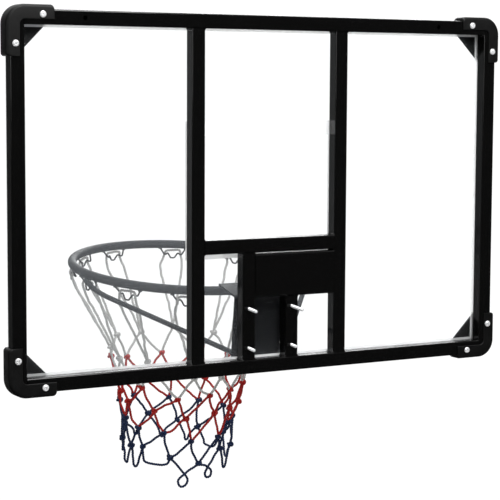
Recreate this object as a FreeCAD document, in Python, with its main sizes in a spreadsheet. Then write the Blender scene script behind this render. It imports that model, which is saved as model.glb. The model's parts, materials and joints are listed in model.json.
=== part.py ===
import FreeCAD, Part
import math
import os
import re
from types import SimpleNamespace

import Sketcher
from FreeCAD import Placement, Rotation, Vector

# Basketball backboard: welded tube frame, clear sheet, corner caps, and a rim with its net.
# Frame: origin at the middle of the four pole studs, on the back face of the tubes.
# +Z is up, the playing face looks along -Y, and left means +X, as seen from behind the board.

SIZES = (
    # Welded frame of square tube
    ("frame_width", 1044, "outer width of the welded frame"),
    ("frame_height", 674, "outer height of the welded frame"),
    ("tube_width", 27, "tube section seen from behind"),
    ("tube_depth", 25, "tube section along the board's thickness"),
    ("tube_wall", 1.5, "tube wall"),
    ("tube_corner", 3, "outer corner radius of the tube section"),
    ("frame_corner", 16, "bevel at the outer corners of the frame and the sheet"),
    ("mullion_pitch", 310, "distance between the two full-height mullions"),
    ("mount_rise", 87.5, "stud pattern's centre above the lower edge of the frame"),
    ("cross_rise", 156, "cross rail's centre line above the stud pattern's centre"),
    ("post_pitch", 94, "distance between the mount posts, and between the studs across"),
    ("stud_rise", 75, "distance between the upper and the lower studs"),
    ("web_gap", 4, "slit between the cross rail and the web plate"),
    ("web_height", 82, "height of the folded web plate"),
    ("web_steel", 3, "thickness of the web plate"),
    ("hang_pitch", 762, "distance between the two hanging holes in the top rail"),
    ("hang_hole", 8, "diameter of the hanging holes"),
    # Clear sheet and its white print
    ("sheet_thickness", 3, "clear sheet"),
    ("print_thickness", 0.2, "white print on the playing face"),
    ("border_inset", 14, "edge of the sheet to the white border"),
    ("border_width", 19, "width of the white border"),
    ("target_width", 337, "outer width of the aiming rectangle"),
    ("target_height", 258, "outer height of the aiming rectangle"),
    ("target_line", 27, "line width of the aiming rectangle"),
    ("target_rise", 131.5, "lower edge of the aiming rectangle above the stud pattern's centre"),
    # Corner caps and their bolts
    ("cap_overhang", 8, "cap wall beyond the frame's edge"),
    ("cap_radius", 35, "outer corner radius of a cap"),
    ("cap_arm", 82, "cap arm along the frame from its corner"),
    ("cap_reach", 17.5, "back flange over the tube"),
    ("cap_web", 103, "sum of both distances from the corner along the front flange's slanted edge"),
    ("cap_skin", 2, "flange thickness"),
    ("cap_clear", 0.1, "clearance of a cap on the frame"),
    ("cap_end", 6, "corner radius of the arm ends"),
    ("cap_edge", 1.2, "rounding of the cap's outer rims"),
    ("cap_bolt_along", 60, "cap bolt from the frame's corner along the tube"),
    ("cap_bolt_in", 9, "cap bolt from the frame's edge"),
    ("cap_bolt", 6, "cap bolt diameter"),
    ("cap_hole", 6.5, "holes for the cap bolts"),
    ("cap_head", 12, "diameter of the pan head"),
    ("cap_head_rise", 3.4, "height of the pan head"),
    ("cap_nut", 10, "nut across its flats"),
    ("cap_nut_height", 5, "nut height"),
    ("cap_bolt_spare", 2, "bolt end beyond the nut"),
    ("thread_clear", 0.05, "gap between the bolt and the nut's bore"),
    # Rim bolts, which are the studs of the pole mount
    ("bolt", 6, "rim bolt diameter"),
    ("bolt_length", 75, "rim bolt below its head"),
    ("bolt_flats", 10, "rim bolt head across its flats"),
    ("bolt_head", 4, "rim bolt head height"),
    ("thread", 5.6, "mean diameter of the bare thread behind a post"),
    ("thread_start", 0.3, "start of the bare thread behind a post"),
    ("bolt_tip", 1, "chamfer at the bolt's end"),
    ("post_hole", 7.5, "bolt holes in the mount posts"),
    ("sheet_hole", 9, "bolt holes in the clear sheet"),
    ("stud_left_top", 27, "upper left bolt beyond the post"),
    ("stud_right_top", 39.7, "upper right bolt beyond the post, whose head stops the rocked rim"),
    ("stud_left_low", 20, "lower left bolt beyond the post"),
    ("stud_right_low", 16, "lower right bolt beyond the post"),
    # Rim: drawn seated flat on the board, then rocked up about its heel
    ("rim_tilt", 6.2, "degrees that the rim rocks up from its seat"),
    ("seat_gap", 0.3, "clear sheet to the seated bracket"),
    ("ring_bore", 450, "inner diameter of the ring"),
    ("ring_tube", 18, "ring's tube diameter"),
    ("ring_wall", 2, "ring's tube wall"),
    ("ring_reach", 327.4, "playing face to the ring's centre"),
    ("bracket_rise", 60.7, "top of the seated bracket above the stud pattern's centre"),
    ("bracket_height", 121, "back plate of the bracket"),
    ("bracket_width", 124, "back plate's width"),
    ("bracket_nose", 86, "top plate's width over the ring"),
    ("bracket_steel", 4, "bracket steel"),
    ("bracket_bend", 6, "outer bend radius, the heel on which the rim rocks"),
    ("bracket_corner", 10, "lower corner radius of the back plate"),
    ("bracket_hole", 9.5, "bolt holes in the bracket"),
    ("weld_gap", 0.05, "gap left for a weld between rim pieces"),
    ("brace", 10, "brace rod diameter"),
    ("brace_bearing", 98.4, "degrees from the front of the ring to the end of a brace"),
    ("brace_out", 10, "end of a brace outside the ring's centre line"),
    ("brace_knee_spread", 486, "distance between the knees of the braces"),
    ("brace_knee_back", 93.3, "knee of a brace behind the ring's centre"),
    ("brace_knee_drop", 21.5, "knee of a brace below the ring's centre line"),
    ("brace_bend", 90, "bend radius at the knee"),
    ("brace_foot_spread", 112, "distance between the feet of the braces"),
    ("brace_foot_rise", 7, "foot of a brace above the bracket's lower edge"),
    # Net hooks of bent wire, in heights below the ring's centre line
    ("hook_wire", 3.5, "wire diameter"),
    ("hook_span", 54, "distance between the two legs at the ring"),
    ("hook_foot", 34, "distance between the lower ends of the legs"),
    ("hook_foot_drop", 25, "lower end of a leg"),
    ("hook_foot_in", 8, "lower end of a leg, towards the ring's centre"),
    ("hook_hump", 24, "distance between the two humps"),
    ("hook_hump_drop", 18, "humps that carry the net"),
    ("hook_dip", 8, "width of the middle bend's bottom"),
    ("hook_dip_drop", 31, "bottom of the middle bend"),
    ("hook_dip_out", 1.8, "bottom of the middle bend, away from the ring's centre"),
    # Net of twelve loops, knotted in five rows, in heights below the ring's centre line
    ("cord", 5, "cord diameter"),
    ("knot", 10, "knot diameter"),
    ("knot_height", 11, "knot height"),
    ("knot_gap", 0.85, "gap between the two cord ends above or below a knot, on each side of its middle"),
    ("knot_rise", 0.5, "middle of an upright cord's end above or below its knot"),
    ("loop_gap", 0.3, "gap between a loop and the humps that it hangs on"),
    ("loop_turn", 6, "upper bend of a loop past a hump"),
    ("loop_turn_drop", 1.7, "upper bend of a loop below its seat"),
    ("loop_bow", 9, "widest place of a loop past a hump"),
    ("loop_bow_out", 1.7, "widest place of a loop, away from the ring's centre"),
    ("loop_bow_drop", 12.5, "widest place of a loop below its seat"),
    ("net_fall", 0.1, "share by which a row falls from the ring's middle towards the board"),
    ("top_row_drop", 180, "white knots under the hooks"),
    ("row_one_drop", 220, "upper red knots"),
    ("row_two_drop", 276, "lower red knots"),
    ("row_three_drop", 321, "upper blue knots"),
    ("row_four_drop", 373, "lower blue knots"),
    ("tip_depth", 42, "depth of the bottom loops"),
    ("top_row_radius", 150, "net radius at the white knots"),
    ("row_one_radius", 139, "net radius at the upper red knots"),
    ("row_two_radius", 125, "net radius at the lower red knots"),
    ("row_three_radius", 119, "net radius at the upper blue knots"),
    ("row_four_radius", 115, "net radius at the lower blue knots"),
)

doc = FreeCAD.newDocument("backboard")
sheet = doc.addObject("Spreadsheet::Sheet", "Sizes")
for line, (alias, number, note) in enumerate(SIZES, 1):
    sheet.set(f"A{line}", alias)
    sheet.set(f"B{line}", str(number))
    sheet.setAlias(f"B{line}", alias)
    sheet.set(f"C{line}", note)
doc.recompute()
mm = SimpleNamespace(**{alias: float(sheet.get(alias)) for alias, number, note in SIZES})

CORD_SIDES = 6
# A bent wire turns each corner in a few chords, over this share of the shorter run beside it
BEND_STEPS = 3
BEND_SHARE = 0.45
# Degrees from the front of the ring to each hook: they are welded by eye, so the steps are uneven
HOOK_BEARINGS = (14.4, 39.2, 72, 97.5, 124.3, 153.7, 185, 211, 237, 271, 305, 339.4)
# Shares of a knot's height from its middle, each with a share of its diameter
KNOT_SHAPE = ((-0.5, 0.7), (-0.25, 1), (0.25, 1), (0.5, 0.7))
# Shares of the way from one knot of the last row to the next, each with a share of a bottom loop's drop
TIP_SHAPE = ((0.25, 0.6), (0.4, 1), (0.6, 1), (0.75, 0.6))
# Knots that hang off their even places: degrees round the ring, then millimetres outwards and down
STRAYS = {
    "top_row": {0: (-6, 0, 12), 4: (1, 0, -14), 5: (9, 0, 9), 6: (2, 0, 6)},
    "row_one": {0: (1, 0, 14), 1: (0, 8, -8), 3: (8, 0, 6), 4: (13, 0, 14), 5: (9, 0, 7), 6: (5, 0, 2),
                9: (-3, 0, -8), 10: (-8, 0, -5), 11: (-7, 0, 16)},
    "row_two": {4: (5, 0, 0), 5: (7, 0, 7), 6: (4, 0, -2), 7: (-1, 0, -7)},
    "row_three": {0: (-1, 0, -9), 1: (0, 8, -14), 4: (-1, 0, -3), 5: (-2, 0, 12), 6: (1, 0, 7),
                  7: (-8, 0, -16), 9: (-9, 0, -4), 10: (-11, 0, 6), 11: (-14, 0, 8)},
    "row_four": {0: (-9, 0, -12), 1: (0, 6, -4), 4: (-9, 0, -14), 5: (-7, 0, -2), 6: (-9, 0, 6),
                 7: (-7, 0, -14), 10: (4, 0, 11), 11: (-7, 0, 5)},
}
nodes = []


def formula(text):
    """Name the sheet in front of each of its sizes in a formula."""
    return re.sub(r"[a-z][a-z_]*\b(?!\()", lambda word: "Sizes." + word.group(), text)


def bind(thing, path, text):
    thing.setExpression(path, formula(text))


# Sketches and features

def new_body(label):
    body = doc.addObject("PartDesign::Body", label)
    body.Label = label
    nodes.append(body)
    return body


def new_sketch(body, role, offset="0"):
    """Sketch on one of the body's origin planes, moved along that plane's normal."""
    sketch = body.newObject("Sketcher::SketchObject", body.Label + "_sketch")
    plane = next(part for part in body.Origin.OriginFeatures if part.Role == role)
    sketch.AttachmentSupport = [(plane, "")]
    sketch.MapMode = "FlatFace"
    bind(sketch, "AttachmentOffset.Base.z", offset)
    return sketch


def pin_point(sketch, geometry, end, x, y):
    """Hold a point of the sketch at two formulas from its origin."""
    for kind, text in (("DistanceX", x), ("DistanceY", y)):
        index = sketch.addConstraint(Sketcher.Constraint(kind, -1, 1, geometry, end, 1.0))
        name = f"{kind}_{index}"
        sketch.renameConstraint(index, name)
        bind(sketch, "Constraints." + name, text)


def outline(sketch, points):
    """Closed outline of straight lines whose corners are pairs of formulas."""
    count = len(points)
    ring = [Vector(math.cos(math.tau * k / count), math.sin(math.tau * k / count)) for k in range(count)]
    first = sketch.GeometryCount
    for k in range(count):
        sketch.addGeometry(Part.LineSegment(ring[k], ring[(k + 1) % count]))
    for k in range(count):
        after = first + (k + 1) % count
        sketch.addConstraint(Sketcher.Constraint("Coincident", first + k, 2, after, 1))
    for k, (x, y) in enumerate(points):
        pin_point(sketch, first + k, 1, x, y)


def rectangle(sketch, left, low, right, high):
    outline(sketch, ((left, low), (right, low), (right, high), (left, high)))


def circle(sketch, x, y, diameter):
    index = sketch.addGeometry(Part.Circle(Vector(0, 0), Vector(0, 0, 1), 1.0))
    pin_point(sketch, index, 3, x, y)
    size = sketch.addConstraint(Sketcher.Constraint("Diameter", index, 2.0))
    name = f"Diameter_{size}"
    sketch.renameConstraint(size, name)
    bind(sketch, "Constraints." + name, diameter)


def pad(body, sketch, length):
    feature = body.newObject("PartDesign::Pad", body.Label + "_pad")
    feature.Profile = sketch
    bind(feature, "Length", length)
    doc.recompute()


def cut(body, sketch, depth=None):
    """Pocket along the sketch's normal, or right through both ways where no depth is given."""
    before = body.Shape.Volume
    feature = body.newObject("PartDesign::Pocket", body.Label + "_cut")
    feature.Profile = sketch
    if depth is None:
        feature.Type = "ThroughAll"
        feature.SideType = "Symmetric"
    else:
        bind(feature, "Length", depth)
        feature.Reversed = True
    doc.recompute()
    if body.Shape.Volume >= before:
        raise RuntimeError(f"a cut in {body.Label} took nothing away")


def drill(body, spots, diameter):
    """Round holes along Y at pairs of formulas for X and Z."""
    sketch = new_sketch(body, "XZ_Plane")
    for x, z in spots:
        circle(sketch, x, z, diameter)
    cut(body, sketch)


def round_edges(body, radius, wanted):
    """Fillet the edges of the body whose middle point and direction the test accepts."""
    base = body.Tip
    names = []
    for index, edge in enumerate(base.Shape.Edges, 1):
        middle = edge.valueAt((edge.FirstParameter + edge.LastParameter) / 2)
        if wanted(edge, middle):
            names.append(f"Edge{index}")
    feature = body.newObject("PartDesign::Fillet", body.Label + "_fillet")
    feature.Base = (base, names)
    bind(feature, "Radius", radius)
    doc.recompute()


def near(value, goal):
    return abs(value - goal) < 1e-4


def along(edge, axis):
    """True for a straight edge that runs along one axis."""
    straight = isinstance(edge.Curve, Part.Line)
    return straight and abs(abs(edge.tangentAt(edge.FirstParameter).dot(axis)) - 1) < 1e-6


X_AXIS = Vector(1, 0, 0)
Y_AXIS = Vector(0, 1, 0)
Z_AXIS = Vector(0, 0, 1)
SIDES = (("left", 1), ("right", -1))

# Formulas that several pieces share, in the part's own frame
FRAME_LOW = "-mount_rise"
FRAME_HIGH = "frame_height - mount_rise"
RAIL_LOW = f"{FRAME_LOW} + tube_width"
RAIL_HIGH = f"{FRAME_HIGH} - tube_width"
CROSS_LOW = "cross_rise - tube_width / 2"
WEB_HIGH = f"{CROSS_LOW} - web_gap"
WEB_LOW = f"{WEB_HIGH} - web_height"
FACE = "(tube_depth + sheet_thickness)"
PRINT_FACE = "(tube_depth + sheet_thickness + print_thickness)"
STUD_SPOTS = [(f"{sx} * post_pitch / 2", f"{sz} * stud_rise / 2") for sx in (1, -1) for sz in (1, -1)]


def cap_x(side, inward):
    return f"{side} * (frame_width / 2 - ({inward}))"


def cap_z(side, inward):
    return f"{FRAME_HIGH} - ({inward})" if side == 1 else f"{FRAME_LOW} + {inward}"


def corner_point(sx, sz, inward, upward):
    """Numbers for X and Z at two distances from a corner of the frame."""
    high = mm.frame_height - mm.mount_rise
    return sx * (mm.frame_width / 2 - inward), high - upward if sz == 1 else upward - mm.mount_rise


def cap_bolt_spots(sx, sz):
    """The two bolt places of one corner: along the rail, then along the side tube."""
    return [
        (cap_x(sx, "cap_bolt_along"), cap_z(sz, "cap_bolt_in")),
        (cap_x(sx, "cap_bolt_in"), cap_z(sz, "cap_bolt_along")),
    ]


CORNERS = [(name_x, sx, name_z, sz) for name_z, sz in (("top", 1), ("bottom", -1)) for name_x, sx in SIDES]


# Frame tubes

def hollow_section(sketch, left, low, right, high):
    rectangle(sketch, left, low, right, high)
    wall = "tube_wall"
    rectangle(sketch, f"{left} + {wall}", f"{low} + {wall}", f"{right} - {wall}", f"{high} - {wall}")


def upright(label, centre, low, high):
    """Vertical tube about a centre line at X."""
    body = new_body(label)
    sketch = new_sketch(body, "XY_Plane", low)
    hollow_section(sketch, f"{centre} - tube_width / 2", "-tube_depth", f"{centre} + tube_width / 2", "0")
    pad(body, sketch, f"{high} - ({low})")
    x = [vertex.X for vertex in body.Shape.Vertexes]
    outer = (min(x), max(x))
    deep = (-mm.tube_depth, 0)
    round_edges(body, "tube_corner", lambda edge, spot: along(edge, Z_AXIS)
                and any(near(spot.x, goal) for goal in outer) and any(near(spot.y, goal) for goal in deep))
    return body


def rail(label, left, right, middle):
    """Level tube about a centre line at Z, between two values of X."""
    body = new_body(label)
    sketch = new_sketch(body, "YZ_Plane", left)
    hollow_section(sketch, "-tube_depth", f"{middle} - tube_width / 2", "0", f"{middle} + tube_width / 2")
    pad(body, sketch, f"{right} - ({left})")
    z = [vertex.Z for vertex in body.Shape.Vertexes]
    outer = (min(z), max(z))
    deep = (-mm.tube_depth, 0)
    round_edges(body, "tube_corner", lambda edge, spot: along(edge, X_AXIS)
                and any(near(spot.z, goal) for goal in outer) and any(near(spot.y, goal) for goal in deep))
    return body


def make_frame():
    inner = "(frame_width / 2 - tube_width)"
    for name_z, sz in (("top", 1), ("bottom", -1)):
        body = rail(f"{name_z}_rail", f"-{inner}", inner, cap_z(sz, "tube_width / 2"))
        drill(body, [cap_bolt_spots(sx, sz)[0] for name_x, sx in SIDES], "cap_hole")
        if sz == 1:
            sketch = new_sketch(body, "XZ_Plane")
            for name_x, sx in SIDES:
                circle(sketch, f"{sx} * hang_pitch / 2", cap_z(sz, "tube_width / 2"), "hang_hole")
            cut(body, sketch, "2 * tube_wall")
    for name_x, sx in SIDES:
        body = upright(f"{name_x}_rail", cap_x(sx, "tube_width / 2"), FRAME_LOW, FRAME_HIGH)
        drill(body, [cap_bolt_spots(sx, sz)[1] for sz in (1, -1)], "cap_hole")
        sketch = new_sketch(body, "XZ_Plane")
        for sz in (1, -1):
            corner = ((cap_x(sx, "0"), cap_z(sz, "0")), (cap_x(sx, "frame_corner"), cap_z(sz, "0")),
                      (cap_x(sx, "0"), cap_z(sz, "frame_corner")))
            outline(sketch, corner)
        cut(body, sketch)
    for name_x, sx in SIDES:
        upright(f"{name_x}_mullion", f"{sx} * mullion_pitch / 2", RAIL_LOW, RAIL_HIGH)
    inner = "(mullion_pitch / 2 - tube_width / 2)"
    rail("cross_rail", f"-{inner}", inner, "cross_rise")
    for (name_x, sx), top in zip(SIDES, (CROSS_LOW, WEB_LOW)):
        body = upright(f"{name_x}_mount_post", f"{sx} * post_pitch / 2", RAIL_LOW, top)
        drill(body, [(f"{sx} * post_pitch / 2", f"{sz} * stud_rise / 2") for sz in (1, -1)], "post_hole")


def make_web_plate():
    """Folded plate from the right mullion to the left post: the right post hangs from its lower flange."""
    body = new_body("web_plate")
    left = "-(mullion_pitch - tube_width) / 2"
    sketch = new_sketch(body, "YZ_Plane", left)
    low, high, skin = WEB_LOW, WEB_HIGH, "web_steel"
    outline(sketch, (
        ("0", low), ("0", high), ("-tube_depth", high), ("-tube_depth", f"{high} - {skin}"),
        (f"-{skin}", f"{high} - {skin}"), (f"-{skin}", f"{low} + {skin}"),
        ("-tube_depth", f"{low} + {skin}"), ("-tube_depth", low),
    ))
    pad(body, sketch, f"(post_pitch - tube_width) / 2 - ({left})")
    z = [vertex.Z for vertex in body.Shape.Vertexes]
    folds = (min(z), max(z))
    round_edges(body, "tube_corner", lambda edge, spot: along(edge, X_AXIS)
                and near(spot.y, 0) and any(near(spot.z, goal) for goal in folds))


# Clear sheet and print

def make_sheet():
    body = new_body("clear_sheet")
    sketch = new_sketch(body, "XZ_Plane", "tube_depth")
    bevels = []
    for sx, sz in ((1, 1), (-1, 1), (-1, -1), (1, -1)):
        pair = [(cap_x(sx, "0"), cap_z(sz, "frame_corner")), (cap_x(sx, "frame_corner"), cap_z(sz, "0"))]
        bevels += pair if sx == sz else reversed(pair)
    outline(sketch, bevels)
    pad(body, sketch, "sheet_thickness")
    drill(body, STUD_SPOTS, "sheet_hole")
    drill(body, [spot for name_x, sx, name_z, sz in CORNERS for spot in cap_bolt_spots(sx, sz)], "cap_hole")


def printed_line(label, left, low, right, high, width):
    """Closed printed band on the playing face."""
    body = new_body(label)
    sketch = new_sketch(body, "XZ_Plane", FACE)
    rectangle(sketch, left, low, right, high)
    rectangle(sketch, f"{left} + {width}", f"{low} + {width}", f"{right} - {width}", f"{high} - {width}")
    pad(body, sketch, "print_thickness")


def make_print():
    inset = "border_inset"
    printed_line("border_print", cap_x(-1, inset), cap_z(-1, inset), cap_x(1, inset), cap_z(1, inset),
                 "border_width")
    low = "target_rise"
    printed_line("target_print", "-target_width / 2", low, "target_width / 2", f"{low} + target_height",
                 "target_line")


# Corner caps

def make_cap(label, sx, sz):
    """Moulded cap: a block with a round corner, slotted for the frame, open behind and cut at 45 degrees."""
    body = new_body(label)
    out = "-cap_overhang"
    far = "cap_arm + cap_overhang"
    back = "(cap_skin + cap_clear)"

    def at(u, v):
        return cap_x(sx, u), cap_z(sz, v)

    def plan(sketch, corners):
        outline(sketch, [at(u, v) for u, v in corners])

    def upright_edge(u, v):
        x, z = corner_point(sx, sz, u, v)
        return lambda edge, middle: along(edge, Y_AXIS) and near(middle.x, x) and near(middle.z, z)

    block = new_sketch(body, "XZ_Plane", f"-{back}")
    plan(block, ((out, out), ("cap_arm", out), ("cap_arm", "cap_arm"), (out, "cap_arm")))
    pad(body, block, f"{PRINT_FACE} + 2 * {back}")
    round_edges(body, "cap_radius", upright_edge(-mm.cap_overhang, -mm.cap_overhang))

    rim_back = mm.cap_skin + mm.cap_clear
    rim_front = -(mm.tube_depth + mm.sheet_thickness + mm.print_thickness + rim_back)
    x_arm, z_arm = corner_point(sx, sz, mm.cap_arm, mm.cap_arm)

    def outer_rim(edge, middle):
        on_face = near(middle.y, rim_back) or near(middle.y, rim_front)
        inner_side = near(middle.x, x_arm) or near(middle.z, z_arm)
        return on_face and not inner_side

    round_edges(body, "cap_edge", outer_rim)

    slot = new_sketch(body, "XZ_Plane", "-cap_clear")
    bevel = "frame_corner - cap_clear"
    plan(slot, ((bevel, "-cap_clear"), (far, "-cap_clear"), (far, far), ("-cap_clear", far),
                ("-cap_clear", bevel)))
    cut(body, slot, f"{PRINT_FACE} + 2 * cap_clear")

    window = new_sketch(body, "XZ_Plane", f"-{back}")
    plan(window, (("cap_reach", "cap_reach"), (far, "cap_reach"), (far, far), ("cap_reach", far)))
    cut(body, window, f"{back} + cap_clear")
    round_edges(body, "cap_end", upright_edge(mm.cap_arm, mm.cap_reach))
    round_edges(body, "cap_end", upright_edge(mm.cap_reach, mm.cap_arm))
    round_edges(body, "cap_end", upright_edge(mm.cap_reach, mm.cap_reach))

    slant = new_sketch(body, "XZ_Plane", PRINT_FACE)
    plan(slant, (("cap_web - (" + far + ")", far), (far, "cap_web - (" + far + ")"), (far, far)))
    cut(body, slant, f"2 * {back}")
    drill(body, cap_bolt_spots(sx, sz), "cap_hole")


# Fasteners

def solid_of(kind, label, **sizes):
    """A Part primitive with each size bound to a formula."""
    thing = doc.addObject("Part::" + kind, label)
    for path, text in sizes.items():
        bind(thing, path, text)
    return thing


def joined(kind, label, base, tool):
    thing = doc.addObject("Part::" + kind, label)
    thing.Base = base
    thing.Tool = tool
    doc.recompute()
    return thing


def group(label, masters):
    """One node of separate copies of master pieces, each with its place."""
    node = doc.addObject("Part::Feature", label)
    node.Label = label
    copies = []
    for master, place in masters:
        copy = master.Shape.copy()
        copy.Placement = place.multiply(copy.Placement)
        copies.append(copy)
    node.Shape = Part.makeCompound(copies)
    nodes.append(node)


TOWARDS_FRONT = Rotation(X_AXIS, 90)
TOWARDS_BACK = Rotation(X_AXIS, -90)


def cap_bolt_points():
    """Numbers for the eight cap bolt places, as X and Z."""
    points = []
    for name_x, sx, name_z, sz in CORNERS:
        for u, v in ((mm.cap_bolt_along, mm.cap_bolt_in), (mm.cap_bolt_in, mm.cap_bolt_along)):
            points.append(corner_point(sx, sz, u, v))
    return points


def make_cap_bolts():
    """Pan head bolts from behind, with nuts on the front flange."""
    grip = f"{PRINT_FACE} + 2 * (cap_skin + cap_clear)"
    shank = solid_of("Cylinder", "cap_bolt_shank", Radius="cap_bolt / 2",
                     Height=f"{grip} + cap_nut_height + cap_bolt_spare")
    collar = solid_of("Cylinder", "cap_bolt_collar", Radius="cap_head / 2", Height="cap_head_rise / 2")
    crown = solid_of("Cone", "cap_bolt_crown", Radius1="cap_head / 3", Radius2="cap_head / 2",
                     Height="cap_head_rise / 2")
    bind(collar, "Placement.Base.z", "-cap_head_rise / 2")
    bind(crown, "Placement.Base.z", "-cap_head_rise")
    head = joined("Fuse", "cap_bolt_head", collar, crown)
    bolt = joined("Fuse", "cap_bolt_master", shank, head)
    behind = mm.cap_skin + mm.cap_clear
    front = -(mm.tube_depth + mm.sheet_thickness + mm.print_thickness + behind)
    spots = cap_bolt_points()
    group("cap_bolts", [(bolt, Placement(Vector(x, behind, z), TOWARDS_FRONT)) for x, z in spots])
    block = solid_of("Prism", "cap_nut_block", Circumradius="cap_nut / sqrt(3)", Height="cap_nut_height")
    block.Polygon = 6
    bore = solid_of("Cylinder", "cap_nut_bore", Radius="cap_bolt / 2 + thread_clear", Height="cap_nut_height")
    nut = joined("Cut", "cap_nut_master", block, bore)
    group("cap_nuts", [(nut, Placement(Vector(x, front, z), TOWARDS_FRONT)) for x, z in spots])


def make_rim_bolts():
    """Hex bolts put in from the front: their bare threads behind the posts are the pole mount's studs."""
    head = solid_of("Prism", "rim_bolt_head", Circumradius="bolt_flats / sqrt(3)", Height="bolt_head")
    head.Polygon = 6
    bind(head, "Placement.Base.z", "-bolt_head")
    thread = solid_of("Cylinder", "rim_bolt_thread", Radius="thread / 2", Height="bolt_length - bolt_tip")
    tip = solid_of("Cone", "rim_bolt_tip", Radius1="thread / 2", Radius2="thread / 2 - bolt_tip",
                   Height="bolt_tip")
    bind(tip, "Placement.Base.z", "bolt_length - bolt_tip")
    core = joined("Fuse", "rim_bolt_core", joined("Fuse", "rim_bolt_stem", thread, tip), head)
    bolts = []
    for sx, sz, beyond in ((1, 1, "stud_left_top"), (-1, 1, "stud_right_top"),
                           (1, -1, "stud_left_low"), (-1, -1, "stud_right_low")):
        shank = solid_of("Cylinder", beyond + "_shank", Radius="bolt / 2",
                         Height=f"bolt_length - {beyond} + thread_start")
        bolt = joined("Fuse", beyond + "_bolt", core, shank)
        spot = Vector(sx * mm.post_pitch / 2, getattr(mm, beyond) - mm.bolt_length, sz * mm.stud_rise / 2)
        bolts.append((bolt, Placement(spot, TOWARDS_BACK)))
    group("rim_bolts", bolts)


# Rim, drawn seated and then rocked up about the middle of its heel bend

BRACKET_BACK = mm.tube_depth + mm.sheet_thickness + mm.seat_gap
BRACKET_TOP = mm.bracket_rise
HEEL = Vector(0, -BRACKET_BACK - mm.bracket_bend, BRACKET_TOP - mm.bracket_bend)
ROCKED = Placement(Vector(), Rotation(X_AXIS, -mm.rim_tilt), HEEL)
RING_RADIUS = (mm.ring_bore + mm.ring_tube) / 2
RING_CENTRE = Vector(0, -mm.tube_depth - mm.sheet_thickness - mm.ring_reach,
                     BRACKET_TOP - mm.bracket_steel - mm.weld_gap - mm.ring_tube / 2)


def make_bracket():
    """Folded steel bracket: a back plate with four bolt holes and a tapered top plate over the ring."""
    body = new_body("rim_bracket")
    half, nose_half = "bracket_width / 2", "bracket_nose / 2"
    back = f"-({FACE} + seat_gap)"
    front = f"{back} - bracket_steel"
    nose = f"-({FACE} + ring_reach) + ring_bore / 2"
    top = "bracket_rise"
    low = f"{top} - bracket_height"
    fold = new_sketch(body, "YZ_Plane", f"-{half}")
    outline(fold, ((back, low), (back, top), (nose, top), (nose, f"{top} - bracket_steel"),
                   (front, f"{top} - bracket_steel"), (front, low)))
    pad(body, fold, "bracket_width")
    outer = -BRACKET_BACK
    inner = outer - mm.bracket_steel
    round_edges(body, "bracket_bend", lambda edge, spot: along(edge, X_AXIS)
                and near(spot.y, outer) and near(spot.z, BRACKET_TOP))
    round_edges(body, "bracket_bend - bracket_steel", lambda edge, spot: along(edge, X_AXIS)
                and near(spot.y, inner) and near(spot.z, BRACKET_TOP - mm.bracket_steel))
    taper = new_sketch(body, "XY_Plane", top)
    root = f"{front} - bracket_bend"
    past = f"{nose} - bracket_steel"
    for name_x, sx in SIDES:
        outline(taper, ((f"{sx} * ({half} + bracket_steel)", root), (f"{sx} * {half}", root),
                        (f"{sx} * {nose_half}", nose), (f"{sx} * {nose_half}", past),
                        (f"{sx} * ({half} + bracket_steel)", past)))
    cut(body, taper)
    foot = BRACKET_TOP - mm.bracket_height
    round_edges(body, "bracket_corner", lambda edge, spot: along(edge, Y_AXIS) and near(spot.z, foot))
    drill(body, STUD_SPOTS, "bracket_hole")
    body.Placement = ROCKED


def make_ring():
    body = new_body("rim_ring")
    sketch = new_sketch(body, "XZ_Plane")
    centre = "(ring_bore + ring_tube) / 2"
    circle(sketch, centre, "0", "ring_tube")
    circle(sketch, centre, "0", "ring_tube - 2 * ring_wall")
    feature = body.newObject("PartDesign::Revolution", "rim_ring_turn")
    feature.Profile = sketch
    feature.ReferenceAxis = (sketch, ["V_Axis"])
    feature.Angle = 360
    doc.recompute()
    body.Placement = ROCKED.multiply(Placement(RING_CENTRE, Rotation()))


def outward(angle):
    """Level direction away from the ring's centre, at an angle from its front towards the left."""
    return Vector(math.sin(angle), -math.cos(angle), 0)


def make_braces():
    """Bent rods from the ring's lower outer side to the foot of the bracket's back plate."""
    apart = (mm.ring_tube + mm.brace) / 2 + mm.weld_gap
    drop = math.sqrt(apart ** 2 - mm.brace_out ** 2)
    plate = -BRACKET_BACK - mm.bracket_steel - mm.weld_gap
    foot_z = BRACKET_TOP - mm.bracket_height + mm.brace_foot_rise
    for name_x, sx in SIDES:
        arm = outward(sx * math.radians(mm.brace_bearing)) * (RING_RADIUS + mm.brace_out)
        start = RING_CENTRE + arm - Z_AXIS * drop
        knee = RING_CENTRE + Vector(sx * mm.brace_knee_spread / 2, mm.brace_knee_back, -mm.brace_knee_drop)
        foot = Vector(sx * mm.brace_foot_spread / 2, plate, foot_z)
        lead = (knee - start).normalize()
        fall = (foot - knee).normalize()
        turn = lead.getAngle(fall)
        straight = (knee - start).Length - 2 * mm.brace
        bend = min(mm.brace_bend, straight / math.tan(turn / 2))
        reach = bend * math.tan(turn / 2)
        into, away = knee - lead * reach, knee + fall * reach
        inner = (fall - lead).normalize()
        middle = knee + inner * (bend / math.cos(turn / 2) - bend)
        past = foot + fall * RING_RADIUS
        path = Part.Wire([Part.LineSegment(start, into).toShape(), Part.Arc(into, middle, away).toShape(),
                          Part.LineSegment(away, past).toShape()])
        section = Part.Wire([Part.Circle(start, lead, mm.brace / 2).toShape()])
        rod = path.makePipeShell([section], True, False)
        corner = Vector(-RING_RADIUS, plate, foot.z - RING_RADIUS)
        behind = Part.makeBox(2 * RING_RADIUS, 2 * RING_RADIUS, 2 * RING_RADIUS, corner)
        node = doc.addObject("Part::Feature", f"{name_x}_brace")
        node.Label = f"{name_x}_brace"
        node.Shape = rod.cut(behind)
        node.Placement = ROCKED
        nodes.append(node)


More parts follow.
